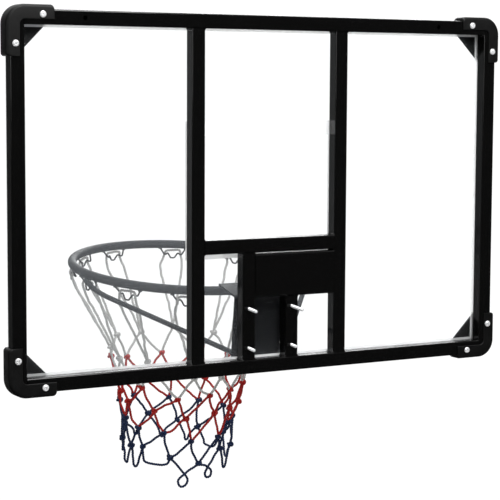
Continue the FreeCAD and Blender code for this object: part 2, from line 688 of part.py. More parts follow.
# Hooks and net of faceted rods

def faceted_rod(points, radii):
    """Straight-sided rod through points, mitred at each one, with a radius for each."""
    rings = []
    count = len(points)
    runs = [(points[k + 1] - points[k]).normalize() for k in range(count - 1)]
    across = runs[0].cross(X_AXIS if abs(runs[0].x) < abs(runs[0].z) else Z_AXIS).normalize()
    for k, point in enumerate(points):
        before, after = runs[max(k - 1, 0)], runs[min(k, count - 2)]
        normal = (before + after).normalize()
        beside = before.cross(across)
        corners = []
        for side in range(CORD_SIDES):
            angle = math.tau * side / CORD_SIDES
            arm = (across * math.cos(angle) + beside * math.sin(angle)) * radii[k]
            corners.append(point + arm - before * (arm.dot(normal) / before.dot(normal)))
        rings.append(corners)
        across = Rotation(before, after).multVec(across)
    walls = [rings[0], rings[-1]]
    for low, high in zip(rings, rings[1:]):
        for side in range(CORD_SIDES):
            after = (side + 1) % CORD_SIDES
            walls.append([low[side], low[after], high[after], high[side]])
    shell = Part.makeShell([Part.Face(Part.makePolygon(wall + wall[:1])) for wall in walls])
    solid = Part.makeSolid(shell)
    if solid.Volume < 0:
        solid.reverse()
    return solid


def even_rod(points, diameter):
    return faceted_rod(points, [diameter / 2] * len(points))


def cord_group(label, solids):
    node = doc.addObject("Part::Feature", label)
    node.Label = label
    node.Shape = Part.makeCompound(solids)
    nodes.append(node)


HOOKS = len(HOOK_BEARINGS)
REST_CENTRE = ROCKED.multVec(RING_CENTRE)


def bearing(step):
    """Angle round the ring at a number of hooks past the first, shared out between two neighbours."""
    turns, rest = divmod(step, HOOKS)
    hook = int(rest)
    after = HOOK_BEARINGS[hook + 1] if hook + 1 < HOOKS else HOOK_BEARINGS[0] + 360
    degrees = HOOK_BEARINGS[hook] + (rest - hook) * (after - HOOK_BEARINGS[hook])
    return math.radians(degrees + 360 * turns)


def sideways(angle):
    return Vector(math.cos(angle), math.sin(angle), 0)


def hook_point(step, side, out, drop):
    """Point beside a hook: along the ring, away from its centre line and below it, on the rocked ring."""
    angle = bearing(step)
    place = RING_CENTRE + outward(angle) * (RING_RADIUS + out) + sideways(angle) * side - Z_AXIS * drop
    return ROCKED.multVec(place)


def eased(points):
    """The points with each corner turned into short chords of an arc as large as its runs allow."""
    path = [points[0]]
    for before, corner, after in zip(points, points[1:], points[2:]):
        back, ahead = before - corner, after - corner
        reach = BEND_SHARE * min(back.Length, ahead.Length)
        back.normalize()
        ahead.normalize()
        half = (math.pi - back.getAngle(ahead)) / 2
        radius = reach / math.tan(half)
        bisector = (back + ahead).normalize()
        tangent = (ahead - back).normalize()
        centre = corner + bisector * (radius / math.cos(half))
        for k in range(BEND_STEPS + 1):
            turn = half * (2 * k / BEND_STEPS - 1)
            path.append(centre - bisector * (radius * math.cos(turn)) + tangent * (radius * math.sin(turn)))
    return path + [points[-1]]


def hook_wire():
    """Middle line of a hook: two legs under the ring, two humps that carry a loop, and a dip between them."""
    leg_top = (mm.ring_tube + mm.hook_wire) / 2 + mm.weld_gap
    half = [(-mm.hook_span / 2, 0, leg_top), (-mm.hook_foot / 2, -mm.hook_foot_in, mm.hook_foot_drop),
            (-mm.hook_hump / 2, 0, mm.hook_hump_drop), (-mm.hook_dip / 2, mm.hook_dip_out, mm.hook_dip_drop)]
    corners = half + [(-side, out, drop) for side, out, drop in reversed(half)]
    return eased([Vector(*corner) for corner in corners])


def make_hooks():
    wire = hook_wire()
    cord_group("net_hooks", [even_rod([hook_point(step, *spot) for spot in wire], mm.hook_wire)
                             for step in range(HOOKS)])


def net_row(name, shift):
    """Angle and middle of each knot of a row, hung along the rocked ring's axis and lower at the board."""
    row = []
    for step in range(HOOKS):
        turn, out, drop = STRAYS[name].get(step, (0, 0, 0))
        angle = bearing(step + shift) + math.radians(turn)
        arm = outward(angle) * (getattr(mm, name + "_radius") + out)
        drop += getattr(mm, name + "_drop") + arm.y * mm.net_fall
        row.append((angle, ROCKED.multVec(RING_CENTRE + arm - Z_AXIS * drop)))
    return row


def knot_port(knot, side, above, toward):
    """Where a cord meets a knot: beside its middle, above or below it, further off where it leans."""
    angle, middle = knot
    run = toward - middle
    lean = math.hypot(run.x, run.y) / run.Length
    height = above * (mm.knot_height / 2 + mm.knot_rise + lean * mm.cord / 4)
    apart = side * (mm.cord / 2 + mm.knot_gap)
    return middle + sideways(angle) * apart + Z_AXIS * height


def knots(row):
    solids = []
    for angle, middle in row:
        spots = [middle + Z_AXIS * (mm.knot_height * rise) for rise, girth in KNOT_SHAPE]
        radii = [mm.knot / 2 * girth for rise, girth in KNOT_SHAPE]
        solids.append(faceted_rod(spots, radii))
    return solids


def strands(upper, lower, ahead):
    """Two cords from each knot to the row below; ahead is 1 where the upper row is half a step on."""
    cords = []
    for step, knot in enumerate(upper):
        for side, shift in ((1, ahead), (-1, ahead - 1)):
            below = lower[(step + shift) % HOOKS]
            ends = [knot_port(knot, side, -1, below[1]), knot_port(below, -side, 1, knot[1])]
            cords.append(even_rod(ends, mm.cord))
    return cords


def make_net():
    """White loops and knots, red rows under them, then blue rows with loops at the bottom."""
    top_row = net_row("top_row", 0)
    row_one = net_row("row_one", 0.5)
    row_two = net_row("row_two", 0)
    row_three = net_row("row_three", 0.5)
    row_four = net_row("row_four", 0)
    hump = mm.hook_hump / 2
    crest = min(spot.z for spot in hook_wire() if abs(spot.x) < mm.hook_foot / 2)
    seat = crest - (mm.hook_wire + mm.cord) / 2 - mm.loop_gap
    loops = []
    for step, knot in enumerate(top_row):
        middle = [(hump, 0, seat), (hump + mm.loop_turn, 0, seat + mm.loop_turn_drop),
                  (hump + mm.loop_bow, mm.loop_bow_out, seat + mm.loop_bow_drop)]
        left = [hook_point(step, -side, out, drop) for side, out, drop in reversed(middle)]
        right = [hook_point(step, side, out, drop) for side, out, drop in middle]
        ends = [knot_port(knot, -1, 1, left[0]), knot_port(knot, 1, 1, right[-1])]
        loops.append(even_rod([ends[0], *left, *right, ends[1]], mm.cord))
    cord_group("net_white_loops", loops + knots(top_row) + strands(top_row, row_one, 0))
    red = knots(row_one) + strands(row_one, row_two, 1)
    red += knots(row_two) + strands(row_two, row_three, 0)
    cord_group("net_red_rows", red)
    blue = knots(row_three) + strands(row_three, row_four, 1) + knots(row_four)
    cord_group("net_blue_row", blue)
    down = ROCKED.Rotation.multVec(Z_AXIS) * -mm.tip_depth
    tips = []
    for step, knot in enumerate(row_four):
        after = row_four[(step + 1) % HOOKS]
        span = after[1] - knot[1]
        belly = [knot[1] + span * way + down * share for way, share in TIP_SHAPE]
        ends = [knot_port(knot, 1, -1, belly[0]), knot_port(after, -1, -1, belly[-1])]
        tips.append(even_rod([ends[0], *belly, ends[1]], mm.cord))
    cord_group("net_bottom_loops", tips)


make_frame()
make_web_plate()
make_sheet()
make_print()
for name_x, sx, name_z, sz in CORNERS:
    make_cap(f"{name_z}_{name_x}_cap", sx, sz)
make_cap_bolts()
make_rim_bolts()
make_bracket()
make_ring()
make_braces()
make_hooks()
make_net()
doc.recompute()

for thing in doc.Objects:
    if "Invalid" in thing.State or "Error" in thing.State:
        raise RuntimeError(f"{thing.Label} did not build")
os.makedirs("parts", exist_ok=True)
for node in nodes:
    shape = node.Shape
    if shape.isNull() or not shape.isValid() or not shape.Solids:
        raise RuntimeError(f"{node.Label} has no sound shape")
    shape.exportStep(f"parts/{node.Label}.step")
print(f"heel axis at Y {HEEL.y:.3f} Z {HEEL.z:.3f}, ring centre {tuple(round(v, 2) for v in REST_CENTRE)}")
print(f"{len(nodes)} nodes, {sum(len(node.Shape.Solids) for node in nodes)} solids")
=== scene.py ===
"""Looks of a basketball backboard: paint, plastic, clear sheet, fasteners, welds, hooks and a knotted net."""

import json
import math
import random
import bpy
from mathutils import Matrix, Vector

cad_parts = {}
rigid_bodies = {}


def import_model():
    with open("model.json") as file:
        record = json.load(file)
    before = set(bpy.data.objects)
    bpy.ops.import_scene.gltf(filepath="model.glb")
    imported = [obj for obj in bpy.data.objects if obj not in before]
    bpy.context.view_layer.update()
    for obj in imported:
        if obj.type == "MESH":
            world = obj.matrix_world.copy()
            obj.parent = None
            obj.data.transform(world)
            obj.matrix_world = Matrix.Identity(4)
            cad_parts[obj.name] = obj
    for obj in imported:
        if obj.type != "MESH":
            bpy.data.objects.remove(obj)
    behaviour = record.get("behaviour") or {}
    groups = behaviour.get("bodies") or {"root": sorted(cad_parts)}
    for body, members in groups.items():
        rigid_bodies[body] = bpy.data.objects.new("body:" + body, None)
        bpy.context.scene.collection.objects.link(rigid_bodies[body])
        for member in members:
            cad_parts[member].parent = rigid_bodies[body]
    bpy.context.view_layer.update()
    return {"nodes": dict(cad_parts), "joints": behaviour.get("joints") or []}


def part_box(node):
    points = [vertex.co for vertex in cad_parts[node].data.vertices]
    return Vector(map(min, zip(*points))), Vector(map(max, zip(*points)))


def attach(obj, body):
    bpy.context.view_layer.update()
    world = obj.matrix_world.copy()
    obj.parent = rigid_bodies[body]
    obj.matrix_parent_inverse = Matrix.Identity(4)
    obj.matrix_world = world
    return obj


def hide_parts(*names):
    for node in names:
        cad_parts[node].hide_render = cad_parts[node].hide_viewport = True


bl_info = {
    "name": "Basketball backboard",
    "version": (1, 0, 0),
    "blender": (4, 5, 0),
    "location": "3D View > Sidebar > Backboard",
    "description": "Dresses the packed backboard with its finishes, fasteners, welds, hooks and net",
    "category": "Object",
}

import bmesh
import bpy
from bpy.props import FloatProperty, FloatVectorProperty, IntProperty, PointerProperty
from mathutils import Matrix, Vector

for leftover in list(bpy.data.objects):
    bpy.data.objects.remove(leftover)
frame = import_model()
MM = 0.001

TUBES = ("top_rail", "bottom_rail", "left_rail", "right_rail", "left_mullion", "right_mullion",
         "cross_rail", "left_mount_post", "right_mount_post", "web_plate")
CAPS = ("top_left_cap", "top_right_cap", "bottom_left_cap", "bottom_right_cap")
RIM_STEEL = ("rim_ring", "left_brace", "right_brace")
# Degrees from the front of the ring to each hook: they are welded by eye, so the steps are uneven
HOOK_BEARINGS = (14.4, 39.2, 72, 97.5, 124.3, 153.7, 185, 211, 237, 271, 305, 339.4)
# Half of a hook's line in millimetres: along the ring, away from its centre line, and below it
HOOK_LINE = ((-28.6, 1.3, 8.6), (-17, -8, 25), (-12, 0, 18), (-4, 1.8, 31))
# Half of a net loop's seat over a hook, in the same terms
LOOP_SEAT = ((12, 0, 13.4), (16.5, 0.8, 15), (18.5, 2.6, 25))
# Rim bolts in millimetres: place across and up, and the length behind the posts
RIM_BOLTS = ((47, 37.5, 27), (-47, 37.5, 39.7), (47, -37.5, 20), (-47, -37.5, 16))
# Rows of knots down the net: radius and drop in millimetres, and the shift in steps between hooks
NET_ROWS = ((150, 180, 0), (139, 220, 0.5), (125, 276, 0), (119, 321, 0.5), (115, 373, 0))
# Knots of each row that hang off their even places: degrees round the ring, millimetres outwards and down
STRAYS = (
    {0: (-6, 0, 12), 4: (1, 0, -14), 5: (9, 0, 9), 6: (2, 0, 6)},
    {0: (1, 0, 14), 1: (0, 8, -8), 3: (8, 0, 6), 4: (13, 0, 14), 5: (9, 0, 7), 6: (5, 0, 2), 9: (-3, 0, -8),
     10: (-8, 0, -5), 11: (-7, 0, 16)},
    {4: (5, 0, 0), 5: (7, 0, 7), 6: (4, 0, -2), 7: (-1, 0, -7)},
    {0: (-1, 0, -9), 1: (0, 8, -14), 4: (-1, 0, -3), 5: (-2, 0, 12), 6: (1, 0, 7), 7: (-8, 0, -16),
     9: (-9, 0, -4), 10: (-11, 0, 6), 11: (-14, 0, 8)},
    {0: (-9, 0, -12), 1: (0, 6, -4), 4: (-9, 0, -14), 5: (-7, 0, -2), 6: (-9, 0, 6), 7: (-7, 0, -14),
     10: (4, 0, 11), 11: (-7, 0, 5)},
)
# Bottom loops from the first hook on: width in steps, less than none where the cord crosses itself, and depth
TIPS = ((0.2, 36), (0.4, 44), (0.4, 44), (0.45, 44), (0.95, 26), (-0.34, 56), (-0.36, 46),
        (0.28, 46), (0.45, 40), (0.5, 38), (0.2, 36), (0.16, 44))
# Dome of a pan head: shares of its radius and of its rise
PAN_HEAD = ((1, 0), (1, 0.26), (0.967, 0.5), (0.867, 0.735), (0.7, 0.882), (0.467, 0.97), (0.2, 1))
# Sides of the turned fasteners
BOLT_SIDES = 24
NUT_SIDES = 48
# Welds of the top plate on the ring: degrees to each side, millimetres off its centre line and above it
PLATE_SEAM_TURN = 10
PLATE_SEAM_OUT = 5
PLATE_SEAM_RISE = 7.5
# Welds of the braces under the ring: degrees from the front, then millimetres along, out and down
BRACE_BEARING = 98.4
BRACE_SEAM_HALF = 14
BRACE_SEAM_STEP = 4
BRACE_SEAM_OUT = 6.4
BRACE_SEAM_DROP = 6.3
# Welds of the braces on the seated back plate: middle of the left one and radius in millimetres, and points
BRACE_FOOT = (56, -33.5, -53.3)
BRACE_FOOT_SEAM = 5.6
BRACE_FOOT_POINTS = 16
# Welds of a hook's two feet in millimetres: way along the ring, half length, way out and drop
HOOK_FOOT = 28
HOOK_SEAM_HALF = 2.5
HOOK_SEAM_OUT = 1
HOOK_SEAM_DROP = 9.2
# Cords shorter than this, in metres, bow less
SHORT_RUN = 0.06
# Millimetres that each leg of a crossed bottom loop stands clear of the crossing
TIP_CROSSING = 3
# Points of a knot's closed line
HITCH_POINTS = 24
# Soft lamps: name, place, size in metres and power in watts
LAMPS = (
    ("lamp_over", (0.3, -0.6, 2.6), 1.2, 42),
    ("lamp_behind", (-0.2, 1.9, 2.3), 1.6, 120),
    ("lamp_side", (2.6, 1.0, 0.75), 0.7, 9),
    ("lamp_front", (-1.6, -2.4, 1.4), 1.6, 72),
)
LAMP_AIM = Vector((0, -0.1, 0.15))
# Light of the studio: white for the camera, soft for matt surfaces, and what glossy ones mirror
WHITE_LEVEL = 1.06
SOFT_LEVEL = 0.48
DARK_LEVEL = 0.04
PANEL_LEVEL = 0.28
CEILING_LEVEL = 0.9
FLOOR_LEVEL = 0.05
# Level ways from the board to the white screen and to the dim panel
SCREEN_WAY = (-0.208, -0.978, 0)
PANEL_WAY = (0.515, -0.857, 0)
# Half of the floor's side in metres
FLOOR_HALF = 3


def colour_field(name, note, default):
    return FloatVectorProperty(name=name, description=note, default=default, size=4, min=0, max=1,
                               subtype="COLOR")


def length_field(name, note, default):
    return FloatProperty(name=name, description=note, default=default, min=0, unit="LENGTH", precision=5)


def share_field(name, note, default):
    return FloatProperty(name=name, description=note, default=default, min=0, max=1, subtype="FACTOR")


class BACKBOARD_PG_finishes(bpy.types.PropertyGroup):
    """Colours of the finishes"""

    frame_paint: colour_field("Frame paint", "Gloss black paint of the tubes", (0.0018, 0.0018, 0.0018, 1))
    cap_plastic: colour_field("Cap plastic", "Matt black plastic of the caps", (0.0026, 0.0026, 0.0026, 1))
    rim_paint: colour_field("Rim paint", "Dark paint of the ring and its braces", (0.014, 0.0155, 0.018, 1))
    # Painted shade: the bracket's colour is a darker copy of the rim paint, standing in for the shade on the
    # bracket
    bracket_shaded_paint: colour_field("Bracket paint", "Dark paint of the bracket", (0.005, 0.0054, 0.006, 1))
    hook_paint: colour_field("Hook paint", "Black paint of the wire hooks", (0.012, 0.012, 0.013, 1))
    zinc: colour_field("Zinc", "Bright zinc plate of the bolts", (0.88, 0.885, 0.89, 1))
    white_print: colour_field("White print", "Ink of the border and aiming rectangle", (0.92, 0.92, 0.92, 1))
    white_cord: colour_field("White cord", "Twine of the upper net", (0.42, 0.42, 0.41, 1))
    red_cord: colour_field("Red cord", "Twine of the middle net", (0.35, 0.008, 0.005, 1))
    blue_cord: colour_field("Blue cord", "Twine of the lower net", (0.0085, 0.021, 0.069, 1))
    haze: share_field("Haze", "Share of the light that each face of the sheet scatters", 0.038)
    print_open: share_field("Open print", "Share of the light that passes the thin ink", 0.4)


class BACKBOARD_PG_fasteners(bpy.types.PropertyGroup):
    """Sizes of the bolts and nuts"""

    cap_head: length_field("Pan head", "Diameter of the cap bolts' heads", 0.012)
    cap_head_rise: length_field("Pan head rise", "Height of the cap bolts' heads", 0.0034)
    cap_bolt: length_field("Cap bolt", "Diameter of the cap bolts", 0.006)
    cap_pitch: length_field("Cap bolt pitch", "Pitch of the cap bolts' thread", 0.001)
    cap_step: length_field("Cap bolt step", "Distance of a cap's bolts from the corner between them", 0.051)
    cap_nut: length_field("Nut", "Cap nut across its flats", 0.010)
    cap_nut_height: length_field("Nut height", "Height of a cap nut", 0.005)
    rim_bolt: length_field("Rim bolt", "Diameter of the rim bolts", 0.006)
    rim_bolt_length: length_field("Rim bolt length", "Rim bolt below its head", 0.075)
    rim_flats: length_field("Rim bolt head", "Rim bolt head across its flats", 0.010)
    rim_head: length_field("Rim bolt head height", "Height of a rim bolt's head", 0.004)
    rim_thread: length_field("Rim thread", "Threaded length of a rim bolt", 0.042)
    rim_pitch: length_field("Rim bolt pitch", "Pitch of the rim bolts' thread", 0.001)
    rim_droop: FloatProperty(name="Rim bolt droop", description="How far the loose rim bolts hang down",
                             subtype="ANGLE", default=math.radians(4.5))
    weld: length_field("Weld", "Radius of the weld beads on the frame", 0.0026)
    rim_weld: length_field("Rim weld", "Radius of the weld beads on the rim", 0.0022)
    seed: IntProperty(name="Seed", description="Seed for the turns of the fasteners and the weld ripples",
                      default=4)


class BACKBOARD_PG_caps(bpy.types.PropertyGroup):
    """Sizes of the corner caps"""

    reach: length_field("Reach", "Back flange over the tube", 0.0175)
    radius: length_field("Corner", "Outer corner radius of a cap", 0.035)
    rounding: length_field("Rounding", "Radius of a cap's outer rims", 0.0055)
    end: length_field("Arm end", "Corner radius of an arm's end", 0.006)
    skin: length_field("Skin", "Thickness of the flanges", 0.002)
    slant: length_field("Slant", "Sum of both distances from the corner along the slanted front edge", 0.103)
    clear: length_field("Clearance", "Gap between a cap and the frame", 0.0001)


class BACKBOARD_PG_web(bpy.types.PropertyGroup):
    """Sizes of the folded web plate"""

    slit: length_field("Slit", "Gap between the plate and the cross rail", 0.0025)
    steel: length_field("Steel", "Thickness of the plate", 0.003)
    bend: length_field("Bend", "Outer bend radius of the folds", 0.004)


class BACKBOARD_PG_sheet(bpy.types.PropertyGroup):
    """Sizes of the print on the sheet"""

    border: length_field("Border", "Width of the border print inside the tubes", 0.0035)


class BACKBOARD_PG_rim(bpy.types.PropertyGroup):
    """Sizes of the ring and its hooks"""

    ring_radius: length_field("Ring radius", "Radius of the ring's centre line", 0.234)
    hook_wire: length_field("Hook wire", "Diameter of the hook wire", 0.0035)
    hook_bend: length_field("Hook bend", "Bend radius of the hook wire", 0.004)


class BACKBOARD_PG_net(bpy.types.PropertyGroup):
    """Sizes of the net"""

    cord: length_field("Cord", "Diameter of the twine", 0.0056)
    lay: length_field("Lay", "Length of one turn of the twine's strands", 0.015)
    knot: length_field("Knot", "Diameter of a knot", 0.0145)
    slack: length_field("Slack", "How far a strand bows between its knots", 0.006)
    wobble: length_field("Wobble", "How far the twine wanders along its way", 0.0016)
    scatter: length_field("Scatter", "How far a knot hangs off its even place", 0.002)
    fall: share_field("Fall", "Share by which a row falls from the ring's middle towards the board", 0.1)
    seed: IntProperty(name="Seed", description="Seed for the places of the knots", default=11)


class BACKBOARD_PG_stage(bpy.types.PropertyGroup):
    """Camera and light"""

    azimuth: FloatProperty(name="Azimuth", description="Camera's turn from straight behind", subtype="ANGLE",
                           default=math.radians(29.55))
    elevation: FloatProperty(name="Elevation", description="Camera's angle above level", subtype="ANGLE",
                             default=math.radians(5.54))
    roll: FloatProperty(name="Roll", description="Camera's roll", subtype="ANGLE", default=math.radians(0.27))
    place: FloatVectorProperty(name="Place", description="Camera's place", subtype="TRANSLATION",
                               default=(1.598, 2.737, 0.4535))
    lens: FloatProperty(name="Lens", description="Focal length in millimetres", default=121.1, min=1)
    floor: FloatProperty(name="Floor", description="Height of the floor", default=-0.95, unit="LENGTH")


SETTINGS = {
    "backboard_finishes": BACKBOARD_PG_finishes,
    "backboard_web": BACKBOARD_PG_web,
    "backboard_caps": BACKBOARD_PG_caps,
    "backboard_sheet": BACKBOARD_PG_sheet,
    "backboard_fasteners": BACKBOARD_PG_fasteners,
    "backboard_rim": BACKBOARD_PG_rim,
    "backboard_net": BACKBOARD_PG_net,
    "backboard_stage": BACKBOARD_PG_stage,
}


# Node trees

class Nodes:
    """A node tree with a short way to add nodes: inputs are values or other nodes' sockets."""

    def __init__(self, tree):
        self.tree = tree
        tree.nodes.clear()

    def add(self, kind, inputs=None, **settings):
        made = self.tree.nodes.new(kind)
        for name, value in settings.items():
            setattr(made, name, value)
        for key, value in (inputs or {}).items():
            if isinstance(value, bpy.types.NodeSocket):
                self.tree.links.new(value, made.inputs[key])
            else:
                made.inputs[key].default_value = value
        return made

    def math(self, operation, first, second=0.0, third=0.0):
        made = self.add("ShaderNodeMath", {0: first, 1: second, 2: third}, operation=operation)
        return made.outputs[0]

    def noise(self, coordinates, scale, detail=2.0):
        made = self.add("ShaderNodeTexNoise", {"Vector": coordinates, "Scale": scale, "Detail": detail})
        return made.outputs["Fac"]

    def spread(self, value, low, high, start=0.3, end=0.7):
        made = self.add("ShaderNodeMapRange", {"Value": value, "From Min": start, "From Max": end,
                                               "To Min": low, "To Max": high})
        return made.outputs["Result"]

    def blend(self, share, first, second):
        made = self.add("ShaderNodeMix", {0: share, 6: first, 7: second}, data_type="RGBA")
        return made.outputs[2]

    def mix(self, share, first, second):
        """Two shaders in one."""
        return self.add("ShaderNodeMixShader", {0: share, 1: first.outputs[0], 2: second.outputs[0]})

    def dice(self, low, high, seed):
        """Random vector for each copy."""
        made = self.add("FunctionNodeRandomValue", {0: low, 1: high, "Seed": seed}, data_type="FLOAT_VECTOR")
        return made.outputs[0]

    def girth(self, sides, diameter):
        """Round section of a wire or a cord."""
        radius = self.math("MULTIPLY", diameter, 0.5)
        made = self.add("GeometryNodeCurvePrimitiveCircle", {"Resolution": sides, "Radius": radius})
        return made.outputs[0]


def shaded(colour, share):
    return (*(channel * share for channel in colour[:3]), 1)


def new_material(name):
    material = bpy.data.materials.new(name)
    material.use_nodes = True
    nodes = Nodes(material.node_tree)
    spots = nodes.add("ShaderNodeTexCoord").outputs["Object"]
    return material, nodes, spots


def close_material(nodes, surface):
    nodes.add("ShaderNodeOutputMaterial", {"Surface": surface})


def coated(name, colour, cloud, gloss, grain, height, fixed):
    """Paint, plastic or plate: a cloudy tint, an uneven gloss and a fine grain in the surface.

    cloud is (scale, darkest share), gloss is (low, high), grain is a scale and height its bump in metres.
    """
    material, nodes, spots = new_material(name)
    tint = nodes.blend(nodes.noise(spots, cloud[0], 4.0), colour, shaded(colour, cloud[1]))
    rough = nodes.spread(nodes.noise(spots, cloud[0] * 2.3, 5.0), *gloss)
    bump = nodes.add("ShaderNodeBump", {"Strength": 1.0, "Distance": height,
                                        "Height": nodes.noise(spots, grain, 3.0)})
    shader = nodes.add("ShaderNodeBsdfPrincipled", {"Base Color": tint, "Roughness": rough,
                                                    "Normal": bump.outputs["Normal"], **fixed})
    close_material(nodes, shader.outputs[0])
    return material


def clear_plastic(name, haze):
    """Clear sheet: see-through with a faint haze, uneven as in rolled plastic, and a gloss on top."""
    material, nodes, spots = new_material(name)
    through = nodes.add("ShaderNodeBsdfTransparent", {"Color": (0.995, 0.998, 0.998, 1)})
    cloud = nodes.spread(nodes.noise(spots, 3.0, 3.0), haze * 0.85, haze * 1.15)
    cool_white = (0.9, 0.95, 1, 1)
    passed = nodes.add("ShaderNodeBsdfTranslucent", {"Color": cool_white})
    returned = nodes.add("ShaderNodeBsdfDiffuse", {"Color": cool_white})
    backscatter = 0.03
    body = nodes.mix(cloud, through, nodes.mix(backscatter, passed, returned))
    gleam = nodes.add("ShaderNodeBsdfGlossy", {"Roughness": 0.06})
    slant = nodes.add("ShaderNodeLayerWeight", {"Blend": 0.5}).outputs["Facing"]
    face_on, edge_on = 0.01, 0.6
    share = nodes.math("MULTIPLY_ADD", nodes.math("POWER", slant, 5.0), edge_on, face_on)
    close_material(nodes, nodes.mix(share, body, gleam).outputs[0])
    return material


def thin_ink(name, colour, share):
    """Screen-printed ink: thin enough for light to come through, a little uneven from the screen."""
    material, nodes, spots = new_material(name)
    tint = nodes.blend(nodes.noise(spots, 60.0, 4.0), colour, shaded(colour, 0.96))
    grain = nodes.noise(spots, 1400.0, 2.0)
    bump = nodes.add("ShaderNodeBump", {"Strength": 0.5, "Distance": 0.00002, "Height": grain})
    fixed = {"Color": tint, "Normal": bump.outputs["Normal"]}
    lit = nodes.add("ShaderNodeBsdfDiffuse", fixed)
    glow = nodes.add("ShaderNodeBsdfTranslucent", fixed)
    through = nodes.add("ShaderNodeBsdfTransparent")
    cover = nodes.spread(grain, 1 - share * 1.06, 1 - share * 0.94)
    close_material(nodes, nodes.mix(cover, through, nodes.mix(0.35, lit, glow)).outputs[0])
    return material


def twine(name, colour):
    """Nylon twine: fine yarns along the strands, with painted shade that darkens the hollows between them,
    and a soft sheen.
    """
    material, nodes, spots = new_material(name)
    yarn = nodes.noise(spots, 900.0, 2.0)
    drift = nodes.noise(spots, 22.0, 3.0)
    worn = nodes.blend(nodes.spread(drift, 0.0, 1.0), shaded(colour, 0.82), colour)
    # Painted shade: the colour is 30% darker where the yarn bump sinks, in the hollows between the yarns
    tint = nodes.blend(nodes.spread(yarn, 0.0, 1.0, 0.35, 0.75), shaded(colour, 0.7), worn)
    bump = nodes.add("ShaderNodeBump", {"Strength": 0.6, "Distance": 0.0004, "Height": yarn})
    rough = nodes.spread(yarn, 0.5, 0.75)
    shader = nodes.add("ShaderNodeBsdfPrincipled", {"Base Color": tint, "Roughness": rough,
                                                    "Normal": bump.outputs["Normal"],
                                                    "Sheen Weight": 0.04, "Sheen Roughness": 0.4,
                                                    "Specular IOR Level": 0.2})
    close_material(nodes, shader.outputs[0])
    return material


def geometry_tree(name, **sockets):
    """A tree that takes and gives geometry, with more named inputs: its nodes and the input sockets."""
    tree = bpy.data.node_groups.new(name, "GeometryNodeTree")
    tree.interface.new_socket(name="Geometry", in_out="INPUT", socket_type="NodeSocketGeometry")
    for label, kind in sockets.items():
        tree.interface.new_socket(name=label, in_out="INPUT", socket_type="NodeSocket" + kind)
    tree.interface.new_socket(name="Geometry", in_out="OUTPUT", socket_type="NodeSocketGeometry")
    nodes = Nodes(tree)
    return nodes, nodes.add("NodeGroupInput").outputs


def close_geometry(nodes, geometry, finish):
    """Realize, smooth and paint what a tree has made, and hand it out."""
    real = nodes.add("GeometryNodeRealizeInstances", {"Geometry": geometry})
    smooth = nodes.add("GeometryNodeSetShadeSmooth", {"Geometry": real.outputs[0]})
    painted = nodes.add("GeometryNodeSetMaterial", {"Geometry": smooth.outputs[0], "Material": finish})
    nodes.add("NodeGroupOutput", {"Geometry": painted.outputs[0]})
    return nodes.tree


def placed_tree():
    """Copies of one piece on points, tipped down and turned about the Y axis, by steps and a random angle."""
    nodes, given = geometry_tree("Placed copies", Piece="Object", Turn="Float", Step="Float", Droop="Float",
                                 Seed="Int", Finish="Material")
    piece = nodes.add("GeometryNodeObjectInfo", {"Object": given["Piece"], "As Instance": True})
    turn = nodes.add("FunctionNodeRandomValue", {2: 0.0, 3: given["Turn"], "Seed": given["Seed"]},
                     data_type="FLOAT")
    count = nodes.add("GeometryNodeInputIndex").outputs[0]
    yaw = nodes.math("MULTIPLY_ADD", count, given["Step"], turn.outputs[1])
    droop = nodes.math("MULTIPLY", given["Droop"], -1.0)
    angles = nodes.add("ShaderNodeCombineXYZ", {"X": droop, "Y": yaw})
    copies = nodes.add("GeometryNodeInstanceOnPoints", {"Points": given["Geometry"],
                                                        "Rotation": angles.outputs[0],
                                                        "Instance": piece.outputs["Geometry"]})
    real = nodes.add("GeometryNodeRealizeInstances", {"Geometry": copies.outputs[0]})
    painted = nodes.add("GeometryNodeSetMaterial", {"Geometry": real.outputs[0], "Material": given["Finish"]})
    nodes.add("NodeGroupOutput", {"Geometry": painted.outputs[0]})
    return nodes.tree


def wire_tree():
    """Round wire along paths, with bent corners."""
    nodes, given = geometry_tree("Bent wire", Wire="Float", Bend="Float", Sides="Int", Finish="Material")
    bent = nodes.add("GeometryNodeFilletCurve", {"Curve": given["Geometry"], "Count": 5,
                                                 "Radius": given["Bend"], "Limit Radius": True}, mode="POLY")
    girth = nodes.girth(given["Sides"], given["Wire"])
    rod = nodes.add("GeometryNodeCurveToMesh", {"Curve": bent.outputs[0], "Profile Curve": girth,
                                                "Fill Caps": True})
    return close_geometry(nodes, rod.outputs[0], given["Finish"])


def weld_tree():
    """Weld bead: overlapping ripples along paths, each a little different."""
    nodes, given = geometry_tree("Weld bead", Bead="Float", Seed="Int", Finish="Material")
    step = nodes.math("MULTIPLY", given["Bead"], 0.8)
    spots = nodes.add("GeometryNodeCurveToPoints", {"Curve": given["Geometry"], "Length": step},
                      mode="LENGTH")
    ripple = nodes.add("GeometryNodeMeshIcoSphere", {"Radius": given["Bead"], "Subdivisions": 2})
    size = nodes.dice((0.85, 0.85, 0.7), (1.15, 1.15, 0.95), given["Seed"])
    beads = nodes.add("GeometryNodeInstanceOnPoints", {"Points": spots.outputs["Points"],
                                                       "Instance": ripple.outputs["Mesh"],
                                                       "Rotation": spots.outputs["Rotation"], "Scale": size})
    return close_geometry(nodes, beads.outputs[0], given["Finish"])


